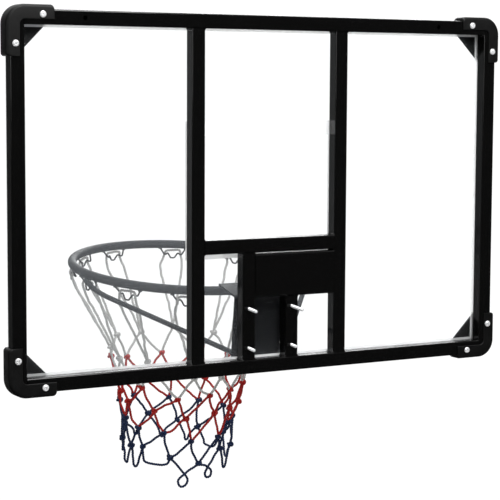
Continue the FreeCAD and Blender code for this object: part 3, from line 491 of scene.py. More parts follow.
def twine_tree():
    """Three-strand twine along curves, and knots of the same twine on the points of another object."""
    nodes, given = geometry_tree("Knotted twine", Cord="Float", Lay="Float", Wobble="Float", Knots="Object",
                                 Hitch="Object", Seed="Int", Finish="Material")
    step = nodes.math("DIVIDE", given["Lay"], 12.0)
    strand = nodes.add("GeometryNodeResampleCurve", {"Curve": given["Geometry"], "Length": step},
                       mode="LENGTH")
    place = nodes.add("GeometryNodeInputPosition").outputs[0]
    drift = nodes.add("ShaderNodeTexNoise", {"Vector": place, "Scale": 38.0, "Detail": 1.0}).outputs["Color"]
    shift = nodes.add("ShaderNodeVectorMath", {0: drift, 1: (0.5, 0.5, 0.5)}, operation="SUBTRACT")
    reach = nodes.math("MULTIPLY", given["Wobble"], 4.0)
    sway = nodes.add("ShaderNodeVectorMath", {0: shift.outputs[0], "Scale": reach}, operation="SCALE")
    loose = nodes.add("GeometryNodeSetPosition", {"Geometry": strand.outputs[0], "Offset": sway.outputs[0]})
    along = nodes.add("GeometryNodeSplineParameter").outputs["Length"]
    turns = nodes.math("DIVIDE", along, given["Lay"])
    twist = nodes.add("GeometryNodeSetCurveTilt", {"Curve": loose.outputs[0],
                                                   "Tilt": nodes.math("MULTIPLY", turns, math.tau)})
    rope = nodes.add("GeometryNodeCurveToMesh", {"Curve": twist.outputs[0],
                                                 "Profile Curve": lobes(nodes, given["Cord"]),
                                                 "Fill Caps": True})
    path = nodes.add("GeometryNodeObjectInfo", {"Object": given["Hitch"]})
    hitch = nodes.add("GeometryNodeResampleCurve", {"Curve": path.outputs["Geometry"], "Count": 40},
                      mode="COUNT")
    knot = nodes.add("GeometryNodeCurveToMesh", {"Curve": hitch.outputs[0],
                                                 "Profile Curve": nodes.girth(7, given["Cord"])})
    places = nodes.add("GeometryNodeObjectInfo", {"Object": given["Knots"]})
    turn = nodes.dice((-0.5, -0.5, 0.0), (0.5, 0.5, math.tau), given["Seed"])
    size = nodes.dice((0.9, 0.9, 0.9), (1.1, 1.1, 1.15), given["Seed"])
    copies = nodes.add("GeometryNodeInstanceOnPoints", {"Points": places.outputs["Geometry"],
                                                        "Instance": knot.outputs[0],
                                                        "Rotation": turn, "Scale": size})
    both = nodes.add("GeometryNodeJoinGeometry", {"Geometry": rope.outputs[0]})
    nodes.tree.links.new(copies.outputs[0], both.inputs[0])
    return close_geometry(nodes, both.outputs[0], given["Finish"])


def lobes(nodes, cord):
    """Section of a twine: a circle with three lobes, one for each strand."""
    circle = nodes.add("GeometryNodeCurvePrimitiveCircle", {"Resolution": 12, "Radius": 1.0})
    place = nodes.add("GeometryNodeInputPosition").outputs[0]
    parts = nodes.add("ShaderNodeSeparateXYZ", {0: place})
    angle = nodes.math("ARCTAN2", parts.outputs["Y"], parts.outputs["X"])
    wave = nodes.math("COSINE", nodes.math("MULTIPLY", angle, 3.0))
    reach = nodes.math("MULTIPLY_ADD", wave, 0.13, 0.87)
    radius = nodes.math("MULTIPLY", nodes.math("MULTIPLY", cord, 0.5), reach)
    spot = nodes.add("ShaderNodeVectorMath", {0: place, "Scale": radius}, operation="SCALE")
    section = nodes.add("GeometryNodeSetPosition", {"Geometry": circle.outputs[0],
                                                    "Position": spot.outputs[0]})
    return section.outputs[0]


# Meshes

def shown(name, data):
    thing = bpy.data.objects.new(name, data)
    bpy.context.scene.collection.objects.link(thing)
    return thing


def paths(name, routes, kind="POLY", closed=False):
    """Curve object with one spline for each route."""
    curve = bpy.data.curves.new(name, "CURVE")
    curve.dimensions = "3D"
    for route in routes:
        spline = curve.splines.new(kind)
        spline.points.add(len(route) - 1)
        for point, spot in zip(spline.points, route):
            point.co = (*spot, 1)
        if kind == "NURBS":
            spline.order_u = 3
            spline.use_endpoint_u = not closed
            spline.use_cyclic_u = closed
            spline.resolution_u = 10
    return shown(name, curve)


def dots(name, spots):
    mesh = bpy.data.meshes.new(name)
    mesh.from_pydata(spots, [], [])
    return shown(name, mesh)


def grown(name, source, tree, helpers=(), **values):
    """Turn a source object into a plain mesh piece through a geometry tree, and remove the source."""
    modifier = source.modifiers.new(tree.name, "NODES")
    modifier.node_group = tree
    for item in tree.interface.items_tree:
        if item.in_out == "INPUT" and item.name in values:
            modifier[item.identifier] = values[item.name]
    depsgraph = bpy.context.evaluated_depsgraph_get()
    mesh = bpy.data.meshes.new_from_object(source.evaluated_get(depsgraph), depsgraph=depsgraph)
    for spent in (source, *helpers):
        bpy.data.objects.remove(spent)
    if not mesh.polygons:
        raise RuntimeError(f"{name} came out empty")
    mesh.name = name
    face_out(mesh)
    return shown(name, mesh)


def face_out(mesh):
    """Merge a mesh's doubles and turn its faces outwards."""
    shell = bmesh.new()
    shell.from_mesh(mesh)
    bmesh.ops.remove_doubles(shell, verts=shell.verts, dist=1e-7)
    bmesh.ops.recalc_face_normals(shell, faces=shell.faces)
    shell.to_mesh(mesh)
    shell.free()


def fit(piece, body, slot, *nodes):
    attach(piece, body)
    if nodes:
        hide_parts(*nodes)


def paint(names, material):
    for name in names:
        for slot in frame["nodes"][name].material_slots:
            slot.material = material


def skin_over(loops, ring=False, shell=None):
    """Skin over loops of as many points each, closed at its two ends, or on itself for a ring."""
    shell = shell or bmesh.new()
    loops = [[shell.verts.new(spot) for spot in loop] for loop in loops]
    pairs = list(zip(loops, loops[1:]))
    if ring:
        pairs.append((loops[-1], loops[0]))
    else:
        shell.faces.new(loops[0])
        shell.faces.new(loops[-1])
    for low, high in pairs:
        for k in range(len(low)):
            after = (k + 1) % len(low)
            shell.faces.new((low[k], low[after], high[after], high[k]))
    bmesh.ops.recalc_face_normals(shell, faces=shell.faces)
    return shell


def lathe(rows, sides, ring=False):
    """Skin of rows round the Z axis. A row gives radius and height for an angle; a ring closes on itself."""
    loops = []
    for row in rows:
        loop = []
        for k in range(sides):
            angle = math.tau * k / sides
            radius, height = row(angle)
            loop.append((radius * math.cos(angle), radius * math.sin(angle), height))
        loops.append(loop)
    return skin_over(loops, ring)


def turned(radius, height):
    return lambda angle: (radius, height)


def hex_radius(flats, angle):
    return flats / 2 / math.cos(angle % (math.pi / 3) - math.pi / 6)


def hex_row(flats, height):
    return lambda angle: (hex_radius(flats, angle), height)


def hex_bevel(flats, height, way):
    """Edge of a hex head where its 30 degree chamfer meets the flats; way is 1 at the top, -1 below."""
    inner = 0.47 * flats

    def row(angle):
        radius = hex_radius(flats, angle)
        return radius, height - way * (radius - inner) * math.tan(math.pi / 6)

    return row


def thread_rows(radius, pitch, start, end):
    """Rows of a right-hand thread: its teeth run round the bolt as they climb."""
    depth = 0.55 * pitch
    rows_per_turn = 6
    count = math.ceil((end - start) / pitch * rows_per_turn)
    rows = []
    for k in range(count + 1):
        height = start + (end - start) * k / count
        fade = min(1.0, (height - start) / pitch, (end - height) / pitch + 0.35)

        def row(angle, height=height, fade=fade):
            phase = (height / pitch - angle / math.tau) % 1
            return radius - depth * fade * abs(2 * phase - 1), height

        rows.append(row)
    return rows


def piece_of(name, shell):
    mesh = bpy.data.meshes.new(name)
    shell.to_mesh(mesh)
    shell.free()
    return shown(name, mesh)


def mesh_of(name, shell):
    """Object from a bmesh, with its axis turned to Y."""
    shell.transform(Matrix.Rotation(-math.pi / 2, 4, "X"))
    return piece_of(name, shell)


def crisp(piece):
    """Smooth shading with sharp edges."""
    piece.data.shade_smooth()
    piece.data.set_sharp_from_angle(angle=math.radians(28))
    return piece


def cut_out(piece, cutter):
    """Take the cutter's shape out of a piece, and remove the cutter."""
    modifier = piece.modifiers.new("Cut", "BOOLEAN")
    modifier.object = cutter
    modifier.solver = "EXACT"
    depsgraph = bpy.context.evaluated_depsgraph_get()
    mesh = bpy.data.meshes.new_from_object(piece.evaluated_get(depsgraph), depsgraph=depsgraph)
    piece.modifiers.clear()
    piece.data = mesh
    bpy.data.objects.remove(cutter)


def cross_blade(reach, width, top, depth):
    """Cutter for a cross recess, narrower at its bottom."""
    corners = []
    arm = ((reach, -width, 0), (reach, width, 0), (width, width, 0))
    for k in range(4):
        turn = Matrix.Rotation(k * math.pi / 2, 3, "Z")
        corners += [turn @ Vector(spot) for spot in arm]
    levels = ((0.5, top - depth), (1.1, top + 0.2 * depth))
    return skin_over([[(spot.x * share, spot.y * share, height) for spot in corners]
                      for share, height in levels])


def pan_bolt(sizes, reach):
    """Pan head bolt with a cross recess, threaded towards the playing side."""
    shank = sizes.cap_bolt / 2
    pitch = sizes.cap_pitch
    turns = 14
    start = -reach + 0.5 * pitch
    end = start + turns * pitch
    rows = [turned(shank - 0.8 * pitch, -reach), *thread_rows(shank, pitch, start, end)]
    rows += [turned(shank, end + 0.5 * pitch), turned(shank, 0)]
    rows += [turned(sizes.cap_head / 2 * wide, sizes.cap_head_rise * rise) for wide, rise in PAN_HEAD]
    bolt = mesh_of("cap_bolt_master", lathe(rows, BOLT_SIDES))
    cross = cross_blade(reach=0.3 * sizes.cap_head, width=0.075 * sizes.cap_head, top=sizes.cap_head_rise,
                        depth=0.8 * sizes.cap_head_rise)
    cut_out(bolt, mesh_of("cap_bolt_cross", cross))
    return crisp(bolt)


def hex_nut(sizes):
    """Nut with both chamfers, open for its bolt."""
    flats = sizes.cap_nut
    height = sizes.cap_nut_height
    bore = 0.52 * sizes.cap_bolt
    face = 0.46 * flats
    rows = [turned(bore, -height), turned(face, -height), hex_bevel(flats, -height, -1),
            hex_bevel(flats, 0, 1), turned(face, 0), turned(bore, 0)]
    return crisp(mesh_of("cap_nut_master", lathe(rows, NUT_SIDES, ring=True)))


def hex_bolt(sizes):
    """Hex bolt with a chamfered head, a washer face and a long thread."""
    flats = sizes.rim_flats
    shank = sizes.rim_bolt / 2
    pitch = sizes.rim_pitch
    washer = 0.47 * flats
    washer_step = 0.0004
    start = sizes.rim_bolt_length - sizes.rim_thread
    end = sizes.rim_bolt_length - pitch
    rows = [turned(0.46 * flats, -sizes.rim_head), hex_bevel(flats, -sizes.rim_head, -1),
            hex_row(flats, -washer_step), turned(washer, -washer_step), turned(washer, 0)]
    rows += [turned(shank, 0), turned(shank, start - pitch)]
    rows += thread_rows(0.985 * shank, pitch, start, end)
    rows.append(turned(shank - pitch, sizes.rim_bolt_length))
    return crisp(mesh_of("rim_bolt_master", lathe(rows, BOLT_SIDES)))


def quarter(steps=6):
    """Sines and cosines over a quarter turn."""
    angles = [math.pi / 2 * k / steps for k in range(steps + 1)]
    return [(math.sin(angle), math.cos(angle)) for angle in angles]


def cap_stations(sizes, arm, overhang):
    """Places along the frame's edge from one arm's end to the other: spot, way out and wall."""
    bend = sizes.radius - overhang
    ends = [(arm - sizes.end * (1 - c), overhang - sizes.end * (1 - s)) for s, c in quarter()]
    stations = [(Vector((0, 0, -along)), Vector((1, 0, 0)), wall) for along, wall in ends]
    for s, c in quarter(16):
        out = Vector((c, 0, s))
        stations.append((out * bend - Vector((bend, 0, bend)), out, overhang))
    stations += [(Vector((-along, 0, 0)), Vector((0, 0, 1)), wall) for along, wall in reversed(ends)]
    return stations


def cap_section(sizes, wall, back, front):
    """Section of a cap's back flange and wall: distances out from the frame's edge, and depths."""
    edge = 0.4 * sizes.skin
    turn = min(sizes.rounding, wall - sizes.clear)
    rows = [(-sizes.reach, back - sizes.skin), (-sizes.reach, back - edge), (edge - sizes.reach, back)]
    rows += [(wall - sizes.rounding * (1 - s), back - sizes.rounding * (1 - c)) for s, c in quarter()]
    rows += [(wall - turn * (1 - c), front + turn * (1 - s)) for s, c in quarter()]
    return [*rows, (sizes.clear, front), (sizes.clear, back - sizes.skin)]


def corner_cap(sizes, arm, overhang, back, front):
    """Moulded cap for the corner at the upper left, with a slanted front flange."""
    stations = cap_stations(sizes, arm, overhang)
    shell = skin_over([[spot + out * reach + Vector((0, depth, 0)) for reach, depth
                        in cap_section(sizes, wall, back, front)] for spot, out, wall in stations])
    rim = [spot + out * sizes.clear for spot, out, wall in stations]
    low = sizes.slant - arm
    web = [Vector((-arm, 0, -low)), Vector((-low, 0, -arm))]
    edge = 0.4 * sizes.skin
    full = [*rim, *web]
    inset = [*rim, *(corner * (1 - edge / low) for corner in web)]
    skin_over([[spot + Vector((0, depth, 0)) for spot in loop] for loop, depth
               in ((full, front + sizes.skin), (full, front + edge), (inset, front))], shell=shell)
    return crisp(piece_of("corner_cap_master", shell))


def copied(name, master, spots, finish, turn=0.0, step=0.0, droop=0.0, seed=0):
    """Copies of a master in one piece, tipped by droop and turned by steps and at random; the master goes."""
    places = dots(name + "_dots", spots)
    return grown(name, places, placed_tree(), [master], Piece=master, Turn=turn, Step=step, Droop=droop,
                 Seed=seed, Finish=finish)


def channel(name, low, high, steel, bend):
    """Plate folded to a channel: a flat back between a top and a bottom flange."""
    top = [(high.y - bend * (1 - s), high.z - bend * (1 - c)) for s, c in quarter()]
    bottom = [(high.y - bend * (1 - c), low.z + bend * (1 - s)) for s, c in quarter()]
    inside = [(low.y, low.z + steel), (high.y - steel, low.z + steel),
              (high.y - steel, high.z - steel), (low.y, high.z - steel)]
    section = [(low.y, high.z), *top, *bottom, (low.y, low.z), *inside]
    return crisp(piece_of(name, skin_over([[(x, y, z) for y, z in section] for x in (low.x, high.x)])))


def flat_frame(name, outer, inner):
    """Flat four-sided frame between two pairs of lowest and highest corners, as deep as the outer pair."""
    front, back = outer[0].y, outer[1].y
    loops = []
    for (low, high), depth in ((outer, front), (outer, back), (inner, back), (inner, front)):
        loops.append([(low.x, depth, low.z), (high.x, depth, low.z),
                      (high.x, depth, high.z), (low.x, depth, high.z)])
    return piece_of(name, skin_over(loops, ring=True))


# Places on the rocked rim

JOINT = frame["joints"][0]
HEEL = Vector(JOINT["pos_m"])
TILT = math.radians(JOINT["range_deg"][1])
# Takes the seated rim to its rocked place
ROCKED = Matrix.Translation(HEEL) @ Matrix.Rotation(-TILT, 4, "X") @ Matrix.Translation(-HEEL)
# Middle of the ring while the rim is seated
RING_CENTRE = Vector((0, -0.3554, 0.04765))
UP = Vector((0, 0, 1))
HOOKS = len(HOOK_BEARINGS)


def bearing(step):
    """Angle round the ring at a number of hooks past the first, shared out between two neighbours."""
    turns, rest = divmod(step, HOOKS)
    hook = int(rest)
    after = HOOK_BEARINGS[hook + 1] if hook + 1 < HOOKS else HOOK_BEARINGS[0] + 360
    return math.radians(HOOK_BEARINGS[hook] + (rest - hook) * (after - HOOK_BEARINGS[hook]) + 360 * turns)


def outward(angle):
    return Vector((math.sin(angle), -math.cos(angle), 0))


def sideways(angle):
    return Vector((math.cos(angle), math.sin(angle), 0))


def by_ring(angle, side, out, drop):
    """Point beside the ring in millimetres: along it, away from its centre line and below it."""
    radius = bpy.context.scene.backboard_rim.ring_radius
    spot = RING_CENTRE + outward(angle) * (radius + out * MM) + sideways(angle) * (side * MM)
    return ROCKED @ (spot - UP * (drop * MM))


def net_row(row):
    """Knots of a row, which hang along the rocked ring's axis and lower at the board's side."""
    fall = bpy.context.scene.backboard_net.fall
    radius, drop, shift = NET_ROWS[row]
    spots = []
    for step in range(HOOKS):
        turn, out, down = STRAYS[row].get(step, (0, 0, 0))
        arm = outward(bearing(step + shift) + math.radians(turn)) * ((radius + out) * MM)
        spots.append(ROCKED @ (RING_CENTRE + arm - UP * ((drop + down) * MM + arm.y * fall)))
    return spots


def stray(dice, reach):
    return Vector((dice.uniform(-1, 1), dice.uniform(-1, 1), dice.uniform(-1, 1))) * reach


def port(knot, toward, sizes):
    """Where a cord leaves its knot, on the side that it is pulled to."""
    return knot + (toward - knot).normalized() * (0.25 * sizes.knot)


def run(dice, start, end, sizes):
    """A cord from one knot to another, with a slack bow that is a little different each time."""
    first, last = port(start, end, sizes), port(end, start, sizes)
    share = min(1, (last - first).length / SHORT_RUN)
    bow = stray(dice, sizes.slack * share) - UP * (0.3 * sizes.slack * share)
    return [first, first.lerp(last, 0.3) + bow * 0.8, first.lerp(last, 0.7) + bow, last]


def strands(dice, rows, row):
    """Two cords down from each knot of a row to the row below, half a step to each side."""
    sizes = bpy.context.scene.backboard_net
    before = -1 if NET_ROWS[row][2] == 0 else 1
    return [run(dice, knot, rows[row + 1][(step + shift) % HOOKS], sizes)
            for step, knot in enumerate(rows[row]) for shift in (0, before)]


def net_loops(dice, knots):
    """Loops over the hooks, each with its two ends in the knot below."""
    sizes = bpy.context.scene.backboard_net
    routes = []
    for step, knot in enumerate(knots):
        angle = bearing(step)
        left = [by_ring(angle, -side, out, drop) for side, out, drop in LOOP_SEAT]
        right = [by_ring(angle, side, out, drop) for side, out, drop in LOOP_SEAT]
        legs = []
        for way, top in ((-1, left[-1]), (1, right[-1])):
            foot = port(knot, top, sizes)
            bulge = sideways(angle) * (way * 1.4 * sizes.slack) + stray(dice, sizes.slack)
            legs.append([top.lerp(foot, 0.16) + bulge, top.lerp(foot, 0.5) + bulge * 0.4, foot])
        routes.append([*reversed(legs[0]), *reversed(left), *right, *legs[1]])
    return routes


def net_tips(dice, knots):
    """Loose loops between the lowest knots."""
    sizes = bpy.context.scene.backboard_net
    down = ROCKED.to_3x3() @ UP * -MM
    middle = sum(knots, Vector()) / HOOKS
    routes = []
    for step, (width, depth) in enumerate(TIPS):
        start, end = knots[step], knots[(step + 1) % HOOKS]
        level = start.lerp(end, 0.5)
        half = (end - start) / 2
        half.z = 0
        out = (level - middle).normalized() * (TIP_CROSSING * MM if width < 0 else 0)
        belly = [level - half * width + down * (0.6 * depth) - out,
                 level - half * (0.8 * width) + down * depth,
                 level + half * (0.8 * width) + down * depth,
                 level + half * width + down * (0.6 * depth) + out]
        belly = [spot + stray(dice, 0.5 * sizes.scatter) for spot in belly]
        routes.append([port(start, belly[0], sizes), *belly, port(end, belly[-1], sizes)])
    return routes


def hitch_line(sizes):
    """Closed line of a knot: three crossings drawn up tight."""
    reach = (sizes.knot - sizes.cord) / 5
    line = []
    for k in range(HITCH_POINTS):
        turn = math.tau * k / HITCH_POINTS
        line.append(Vector((math.sin(turn) + 2 * math.sin(2 * turn), math.cos(turn) - 2 * math.cos(2 * turn),
                            -1.6 * math.sin(3 * turn))) * reach)
    return line


# Pieces

class BackboardStep(bpy.types.Operator):
    """Base of the backboard's steps"""

    bl_options = {"REGISTER", "UNDO"}


class BACKBOARD_OT_frame_paint(BackboardStep):
    """Paint the welded tube frame gloss black"""

    bl_idname = "backboard.frame_paint"
    bl_label = "Frame paint"

    def execute(self, context):
        colours = context.scene.backboard_finishes
        gloss = coated("frame_paint_gloss", colours.frame_paint, cloud=(9.0, 0.75), gloss=(0.12, 0.2),
                       grain=700.0, height=0.00002,
                       fixed={"Specular IOR Level": 0.22, "Coat Weight": 0.3, "Coat Roughness": 0.06})
        paint(TUBES, gloss)
        return {"FINISHED"}


class BACKBOARD_OT_web_plate(BackboardStep):
    """Fold the web plate between the right mullion and the left post"""

    bl_idname = "backboard.web_plate"
    bl_label = "Web plate"

    def execute(self, context):
        sizes = context.scene.backboard_web
        low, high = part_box("web_plate")
        high = Vector((high.x, high.y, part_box("cross_rail")[0].z - sizes.slit))
        piece = channel("web_plate_folded", low, high, sizes.steel, sizes.bend)
        piece.data.materials.append(bpy.data.materials["frame_paint_gloss"])
        fit(piece, "board", "frame_paint", "web_plate")
        return {"FINISHED"}


class BACKBOARD_OT_frame_welds(BackboardStep):
    """Lay the weld beads in the inner corners of the frame"""

    bl_idname = "backboard.frame_welds"
    bl_label = "Frame welds"

    def execute(self, context):
        sizes = context.scene.backboard_fasteners
        rail_low, rail_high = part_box("bottom_rail")[1].z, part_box("top_rail")[0].z
        cross_low, cross_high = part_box("cross_rail")
        corners = []
        for name in ("left_mullion", "right_mullion"):
            low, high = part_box(name)
            corners += [(x, z) for x in (low.x, high.x) for z in (rail_low, rail_high)]
            inner = min(low.x, high.x, key=abs)
            corners += [(inner, cross_low.z), (inner, cross_high.z)]
        for name in ("left_mount_post", "right_mount_post"):
            low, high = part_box(name)
            corners += [(low.x, rail_low), (high.x, rail_low)]
        low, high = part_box("right_mount_post")
        corners += [(low.x, high.z), (high.x, high.z), (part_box("left_mount_post")[1].x, cross_low.z)]
        deep, shallow = cross_low.y + 1.5 * sizes.weld, -1.4 * sizes.weld
        seams = paths("frame_welds_path", [((x, deep, z), (x, shallow, z)) for x, z in corners])
        piece = grown("frame_welds", seams, weld_tree(), Bead=sizes.weld, Seed=sizes.seed,
                      Finish=bpy.data.materials["frame_paint_gloss"])
        fit(piece, "board", "frame_paint")
        return {"FINISHED"}


class BACKBOARD_OT_clear_sheet(BackboardStep):
    """Give the sheet its clear plastic and the lines their white ink"""

    bl_idname = "backboard.clear_sheet"
    bl_label = "Clear sheet and print"

    def execute(self, context):
        colours = context.scene.backboard_finishes
        paint(("clear_sheet",), clear_plastic("clear_sheet_plastic", colours.haze))
        ink = thin_ink("white_print_ink", colours.white_print, colours.print_open)
        paint(("border_print", "target_print"), ink)
        low = Vector((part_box("right_rail")[1].x, 0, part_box("bottom_rail")[1].z))
        high = Vector((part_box("left_rail")[0].x, 0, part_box("top_rail")[0].z))
        inset = Vector((1, 0, 1)) * context.scene.backboard_sheet.border
        piece = flat_frame("border_print_line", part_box("border_print"), (low + inset, high - inset))
        piece.data.materials.append(ink)
        fit(piece, "board", "white_print", "border_print")
        return {"FINISHED"}


class BACKBOARD_OT_corner_caps(BackboardStep):
    """Mould the four corner caps"""

    bl_idname = "backboard.corner_caps"
    bl_label = "Corner caps"

    def execute(self, context):
        colours = context.scene.backboard_finishes
        plastic = coated("cap_plastic_moulded", colours.cap_plastic, cloud=(30.0, 0.8), gloss=(0.42, 0.58),
                         grain=1500.0, height=0.00008, fixed={"Specular IOR Level": 0.22})
        paint(CAPS, plastic)
        low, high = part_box("top_left_cap")
        left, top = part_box("left_rail")[1].x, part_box("top_rail")[1].z
        right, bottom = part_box("right_rail")[0].x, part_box("bottom_rail")[0].z
        cap = corner_cap(context.scene.backboard_caps, left - low.x, high.x - left, high.y, low.y)
        corners = [(left, 0, top), (left, 0, bottom), (right, 0, bottom), (right, 0, top)]
        piece = copied("corner_caps_moulded", cap, corners, plastic, step=math.pi / 2)
        fit(piece, "board", "cap_plastic", *CAPS)
        return {"FINISHED"}


class BACKBOARD_OT_cap_fasteners(BackboardStep):
    """Set the pan head bolts of the caps, and their nuts"""

    bl_idname = "backboard.cap_fasteners"
    bl_label = "Cap bolts and nuts"

    def execute(self, context):
        sizes = context.scene.backboard_fasteners
        zinc = coated("zinc_bright", context.scene.backboard_finishes.zinc, cloud=(160.0, 0.94),
                      gloss=(0.26, 0.4), grain=1800.0, height=0.00001, fixed={"Metallic": 0.5})
        low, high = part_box("cap_bolts")
        edge = sizes.cap_head / 2
        centres = []
        for x, way_x in ((low.x + edge, 1), (high.x - edge, -1)):
            for z, way_z in ((low.z + edge, 1), (high.z - edge, -1)):
                centres += [(x, z + way_z * sizes.cap_step), (x + way_x * sizes.cap_step, z)]
        behind = high.y - sizes.cap_head_rise
        bolts = copied("cap_bolts_pan_head", pan_bolt(sizes, behind - low.y),
                       [(x, behind, z) for x, z in centres], zinc, turn=math.pi / 2, seed=sizes.seed)
        fit(bolts, "board", "zinc", "cap_bolts")
        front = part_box("cap_nuts")[1].y
        nuts = copied("cap_nuts_hex", hex_nut(sizes), [(x, front, z) for x, z in centres], zinc,
                      turn=math.pi / 3, seed=sizes.seed)
        fit(nuts, "board", "zinc", "cap_nuts")
        return {"FINISHED"}


class BACKBOARD_OT_rim_bolts(BackboardStep):
    """Set the four hex bolts that carry the rim"""

    bl_idname = "backboard.rim_bolts"
    bl_label = "Rim bolts"

    def execute(self, context):
        sizes = context.scene.backboard_fasteners
        low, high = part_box("left_mount_post")
        middle = (low.y + high.y) / 2
        spots = []
        for x, z, beyond in RIM_BOLTS:
            y = beyond * MM - sizes.rim_bolt_length
            spots.append((x * MM, y, z * MM + (middle - y) * math.tan(sizes.rim_droop)))
        piece = copied("rim_bolts_hex", hex_bolt(sizes), spots, bpy.data.materials["zinc_bright"],
                       droop=sizes.rim_droop, seed=sizes.seed)
        fit(piece, "board", "zinc", "rim_bolts")
        return {"FINISHED"}


class BACKBOARD_OT_rim_steel(BackboardStep):
    """Paint the ring, the bracket and the braces, and lay their weld beads"""

    bl_idname = "backboard.rim_steel"
    bl_label = "Rim steel"

    def execute(self, context):
        colours = context.scene.backboard_finishes
        sizes = context.scene.backboard_fasteners
        satin = coated("rim_paint_satin", colours.rim_paint, cloud=(14.0, 0.8), gloss=(0.55, 0.7),
                       grain=600.0, height=0.00005, fixed={"Specular IOR Level": 0.12})
        paint(RIM_STEEL, satin)
        # Painted shade: a darker copy of the rim paint for the bracket, standing in for the shade between the
        # posts and on its top
        bracket_shade_copy = coated("bracket_shaded_satin", colours.bracket_shaded_paint, cloud=(14.0, 0.8), gloss=(0.65, 0.8),
                      grain=600.0, height=0.00005, fixed={"Specular IOR Level": 0.05})
        paint(("rim_bracket",), bracket_shade_copy)
        seams = paths("rim_weld_path", [*self.plate_seams(), *self.brace_seams(), *self.hook_seams()])
        piece = grown("rim_welds", seams, weld_tree(), Bead=sizes.rim_weld, Seed=sizes.seed, Finish=satin)
        fit(piece, "rim", "rim_paint")
        return {"FINISHED"}

    def plate_seams(self):
        """Seams of the bracket's top plate over the ring."""
        turns = [math.radians(180 + turn) for turn in range(-PLATE_SEAM_TURN, PLATE_SEAM_TURN + 1)]
        return [[by_ring(turn, 0, out, -PLATE_SEAM_RISE) for turn in turns]
                for out in (-PLATE_SEAM_OUT, PLATE_SEAM_OUT)]

    def brace_seams(self):
        """Seams at both ends of each brace."""
        seams = []
        for way in (1, -1):
            seams.append([by_ring(way * math.radians(BRACE_BEARING), side, BRACE_SEAM_OUT, BRACE_SEAM_DROP)
                          for side in range(-BRACE_SEAM_HALF, BRACE_SEAM_HALF + 1, BRACE_SEAM_STEP)])
            foot = Vector((way * BRACE_FOOT[0], *BRACE_FOOT[1:]))
            turns = [math.tau * k / BRACE_FOOT_POINTS for k in range(BRACE_FOOT_POINTS + 1)]
            around = [foot + Vector((math.cos(turn), 0, math.sin(turn))) * BRACE_FOOT_SEAM for turn in turns]
            seams.append([ROCKED @ (spot * MM) for spot in around])
        return seams

    def hook_seams(self):
        """Short seams at the feet of the hooks."""
        return [[by_ring(bearing(step), side + shift, HOOK_SEAM_OUT, HOOK_SEAM_DROP)
                 for shift in (-HOOK_SEAM_HALF, HOOK_SEAM_HALF)]
                for step in range(HOOKS) for side in (-HOOK_FOOT, HOOK_FOOT)]


class BACKBOARD_OT_net_hooks(BackboardStep):
    """Bend the wire hooks that carry the net"""

    bl_idname = "backboard.net_hooks"
    bl_label = "Net hooks"

    def execute(self, context):
        sizes = context.scene.backboard_rim
        black = coated("hook_paint_satin", context.scene.backboard_finishes.hook_paint, cloud=(40.0, 0.7),
                       gloss=(0.4, 0.55), grain=900.0, height=0.00003, fixed={"Specular IOR Level": 0.3})
        line = [*HOOK_LINE, *((-side, out, drop) for side, out, drop in reversed(HOOK_LINE))]
        routes = [[by_ring(bearing(step), *spot) for spot in line] for step in range(HOOKS)]
        piece = grown("net_hooks_wire", paths("net_hook_path", routes), wire_tree(), Wire=sizes.hook_wire,
                      Bend=sizes.hook_bend, Sides=10, Finish=black)
        fit(piece, "rim", "rim_paint", "net_hooks")
        return {"FINISHED"}


class BACKBOARD_OT_net(BackboardStep):
    """Tie the net: white loops, red rows, then blue rows with loops at the bottom"""

    bl_idname = "backboard.net"
    bl_label = "Net"

    def execute(self, context):
        colours = context.scene.backboard_finishes
        sizes = context.scene.backboard_net
        dice = random.Random(sizes.seed)
        rows = [[knot + stray(dice, sizes.scatter) for knot in net_row(row)] for row in range(len(NET_ROWS))]
        tree = twine_tree()
        bands = (
            ("net_white", colours.white_cord, "white_cord", [rows[0]],
             net_loops(dice, rows[0]) + strands(dice, rows, 0), ("net_white_loops",)),
            ("net_red", colours.red_cord, "red_cord", [rows[1], rows[2]],
             strands(dice, rows, 1) + strands(dice, rows, 2), ("net_red_rows",)),
            ("net_blue", colours.blue_cord, "blue_cord", [rows[3], rows[4]],
             strands(dice, rows, 3) + net_tips(dice, rows[4]), ("net_blue_row", "net_bottom_loops")),
        )
        for name, colour, slot, knots, routes, nodes in bands:
            hitch = paths(name + "_hitch", [hitch_line(sizes)], "NURBS", closed=True)
            places = dots(name + "_knots", [spot for row in knots for spot in row])
            cords = paths(name + "_path", routes, "NURBS")
            piece = grown(name, cords, tree, [hitch, places], Cord=sizes.cord, Lay=sizes.lay,
                          Wobble=sizes.wobble, Knots=places, Hitch=hitch, Seed=sizes.seed,
                          Finish=twine(name, colour))
            fit(piece, "rim", slot, *nodes)
        return {"FINISHED"}


